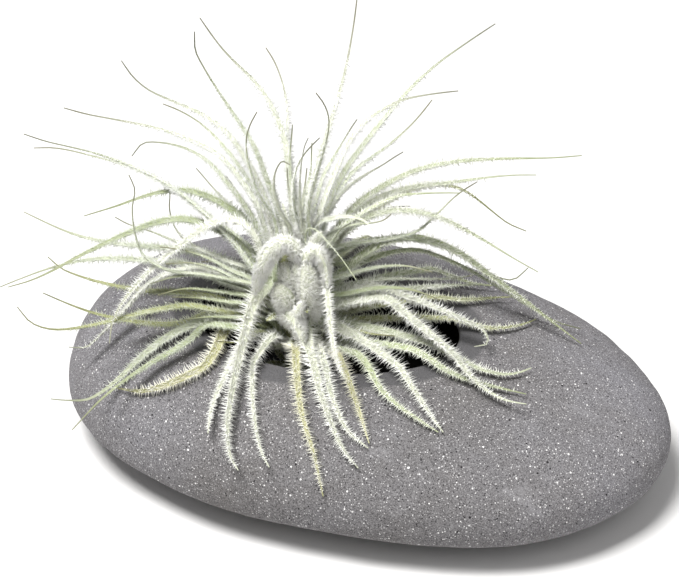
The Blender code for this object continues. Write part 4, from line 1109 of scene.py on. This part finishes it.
# ------------------------------------------------ furry heart and leaf sheaths
def stem_piece():
    shape = Shape()
    axis = stem_axis()
    length = float(np.linalg.norm(np.array(STEM_TOP) - np.array(STEM_FOOT)))
    side = unit(np.cross(axis, [0.0, 1.0, 0.0])[None])[0]
    other = np.cross(axis, side)
    R, A = 40, 24
    turn = np.linspace(0.012, 0.988, R)
    along = -2.3 + (length + 7.3) * turn
    rad = np.where(along < length - 2, STEM_RADIUS * np.minimum(1.0, 0.55 + 0.9 * turn),
                   STEM_RADIUS * np.maximum(0.0, (length + 5 - along) / 7.0) ** 0.7)
    ang = np.linspace(0, 2 * math.pi, A, endpoint=False)
    wob = 1 + 0.07 * np.sin(3 * ang[None] + along[:, None] * 0.55) + 0.04 * np.sin(5 * ang[None] - along[:, None] * 0.9)
    ring = (np.array(STEM_FOOT) + axis * along[:, None, None]
            + (side * np.cos(ang)[None, :, None] + other * np.sin(ang)[None, :, None]) * (rad[:, None] * wob)[..., None])
    verts = ring.reshape(-1, 3)
    a = np.arange(R - 1)[:, None] * A + np.arange(A)[None]
    b = np.arange(R - 1)[:, None] * A + (np.arange(A)[None] + 1) % A
    c, d = a + A, b + A
    tris = np.concatenate([np.stack([a, b, d], -1).reshape(-1, 3), np.stack([a, d, c], -1).reshape(-1, 3)])
    foot, tip = np.array(STEM_FOOT) - axis * 2.3, np.array(STEM_FOOT) + axis * (length + 5)
    first = np.stack([(np.arange(A) + 1) % A, np.arange(A), np.full(A, R * A)], -1)
    last = np.stack([(R - 1) * A + np.arange(A), (R - 1) * A + (np.arange(A) + 1) % A, np.full(A, R * A + 1)], -1)
    tone = np.zeros((R * A + 2, 3))
    tone[:, 0] = 0.4
    tone[:, 1] = 0.5
    verts, tris = np.vstack([verts, foot, tip]), np.vstack([tris, first, last])
    v0, v1, v2 = verts[tris[:, 0]], verts[tris[:, 1]], verts[tris[:, 2]]
    if (np.cross(v0 - foot, v1 - foot) * (v2 - foot)).sum() < 0:
        tris = tris[:, ::-1]
    shape.add(verts, tris, 0, True, tone)
    # short overlapping sheaths in a spiral, hiding the lower stem
    for k in range(22):
        share = -0.06 + 0.62 * k / 21
        turn_k = k * math.radians(137.5) + 0.6
        root = stem_point(SHEATH_FOOT + (SHEATH_TOP - SHEATH_FOOT) * share)
        rdir = side * math.cos(turn_k) + other * math.sin(turn_k)
        run = 13.0 + 4.0 * math.sin(k * 1.7)
        rise = 0.35 + 0.75 * share
        ctrl = [root + rdir * 2.6, root + rdir * (STEM_RADIUS + 1.2) + axis * run * 0.30 * rise,
                root + rdir * (STEM_RADIUS + 3.8) + axis * run * 0.62 * rise,
                root + rdir * (STEM_RADIUS + 7.8) + axis * run * 0.78 * rise - np.array([0, 0, 0.9 * (1 - share)])]
        line = smooth_curve(np.array(ctrl), 20)
        frames = add_blade(shape, line, 4.8, 1.0, float(RNG.random()), thick=0.8)
        add_fur(shape, line, frames, 420, 1.7, 0.5)
    obj = shape.make("furred_stem", [BLADES["olive"], HAIRS["green"]])
    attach(obj, BODY)
    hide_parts("stem")
    return obj


stem_piece()
heart = Shape()
for row in BUDS:
    spot = np.array(row[3], float)
    post = np.array([stem_point(t) for t in np.linspace(0.2, 1.0, 9)])
    ahead = np.interp(spot[:, 1], seen_at(post)[::-1, 1], depth_of(post)[::-1]) - spot[:, 2]
    fine = smooth_curve(on_sight(spot[:, :2], ahead), 22)
    rnd = float(RNG.random())
    frames = add_blade(heart, fine, row[2], 0.60, rnd, blunt=True)
    span = np.linalg.norm(np.diff(fine, axis=0), axis=1).sum()
    # painted shade: the buds other than the lit fold tops get darker hair
    add_fur(heart, fine, frames, int(26 * row[2] * span), 2.25, rnd, blunt=True, long_share=0.55, lie=0.35,
            painted_shade=0.0 if row[0] in ("bud_03", "bud_05", "bud_06", "bud_08", "bud_04") else 0.6)
up_axis = stem_axis()
s_side = unit(np.cross(up_axis, [0.0, 1.0, 0.0])[None])[0]
s_other = np.cross(up_axis, s_side)
for k in range(12):                      # young leaves standing round the bud
    share = 0.58 + 0.40 * k / 11
    turn_k = k * math.radians(137.5) + 1.1
    root = stem_point(SHEATH_FOOT + (SHEATH_TOP - SHEATH_FOOT) * share)
    rdir = s_side * math.cos(turn_k) + s_other * math.sin(turn_k)
    if float(rdir @ np.array(BACK)) > 0.05:          # the front is filled by the blunt ones
        continue
    run = 15.0 + 3.0 * math.sin(k * 2.1)
    reach = 1.0 - 0.5 * (share - 0.58) / 0.4
    ctrl = [root + rdir * 2.0, root + rdir * (STEM_RADIUS * 0.95) + up_axis * run * 0.35,
            root + rdir * (STEM_RADIUS + 2.2 * reach) + up_axis * run * 0.72,
            root + rdir * (STEM_RADIUS + 5.6 * reach) + up_axis * run]
    line = smooth_curve(np.array(ctrl), 20)
    rnd = float(RNG.random())
    frames = add_blade(heart, line, 4.4, 0.9, rnd, thick=0.9)
    add_fur(heart, line, frames, 640, 1.9, rnd, density=1.4)
obj = heart.make("furred_heart", [BLADES["white"], HAIRS["white"]])
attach(obj, BODY)

# ----------------------------------------------------------- floor and lights
mesh = bpy.data.meshes.new("studio_floor")
mesh.from_pydata([(-4, -4, -0.00005), (4, -4, -0.00005), (4, 4, -0.00005), (-4, 4, -0.00005)], [], [(0, 1, 2, 3)])
floor = bpy.data.objects.new("studio_floor", mesh)
bpy.context.scene.collection.objects.link(floor)
mat, tree, node = new_material("studio_white", 0.9, 0.1)
node.inputs["Base Color"].default_value = (0.74, 0.735, 0.73, 1)
mesh.materials.append(mat)

world = bpy.data.worlds.new("studio")
bpy.context.scene.world = world
world.use_nodes = True
world.node_tree.nodes["Background"].inputs["Color"].default_value = (1.0, 1.0, 1.0, 1)
world.node_tree.nodes["Background"].inputs["Strength"].default_value = 0.31


def area(name, direction, distance, size, power, tint=(1, 1, 1)):
    light = bpy.data.lights.new(name, "AREA")
    light.shape = "SQUARE"
    light.size = size
    light.energy = power
    light.color = tint
    obj = bpy.data.objects.new(name, light)
    d = Vector(direction).normalized()
    obj.location = Vector((-0.012, 0.0, 0.03)) + d * distance
    obj.rotation_mode = "QUATERNION"
    obj.rotation_quaternion = (-d).to_track_quat("-Z", "Y")
    bpy.context.scene.collection.objects.link(obj)


level_back = Vector((math.sin(VIEW_AZ), -math.cos(VIEW_AZ), 0))
level_right = Vector((math.cos(VIEW_AZ), math.sin(VIEW_AZ), 0))
area("key", -0.30 * level_right + 0.26 * level_back + Vector((0, 0, 1.0)), 1.3, 0.48, 26.8, (1.0, 0.995, 0.985))
area("fill", 0.35 * level_right + 0.90 * level_back + Vector((0, 0, 0.95)), 1.6, 0.9, 4.2)

# --------------------------------------------------------------------- camera
cam_data = bpy.data.cameras.new("camera")
cam = bpy.data.objects.new("camera", cam_data)
cam_data.sensor_fit = "HORIZONTAL"
cam_data.sensor_width = 36.0
cam_data.lens = VIEW_SCALE / 679.0 * 36.0
cam_data.clip_start, cam_data.clip_end = 0.05, 40.0
turn = Matrix((RIGHT, UP, BACK)).transposed()
cam.matrix_world = Matrix.Translation(Vector(EYE) * MM) @ turn.to_4x4()
bpy.context.scene.collection.objects.link(cam)
bpy.context.scene.camera = cam
bpy.context.scene.view_settings.view_transform = "Standard"
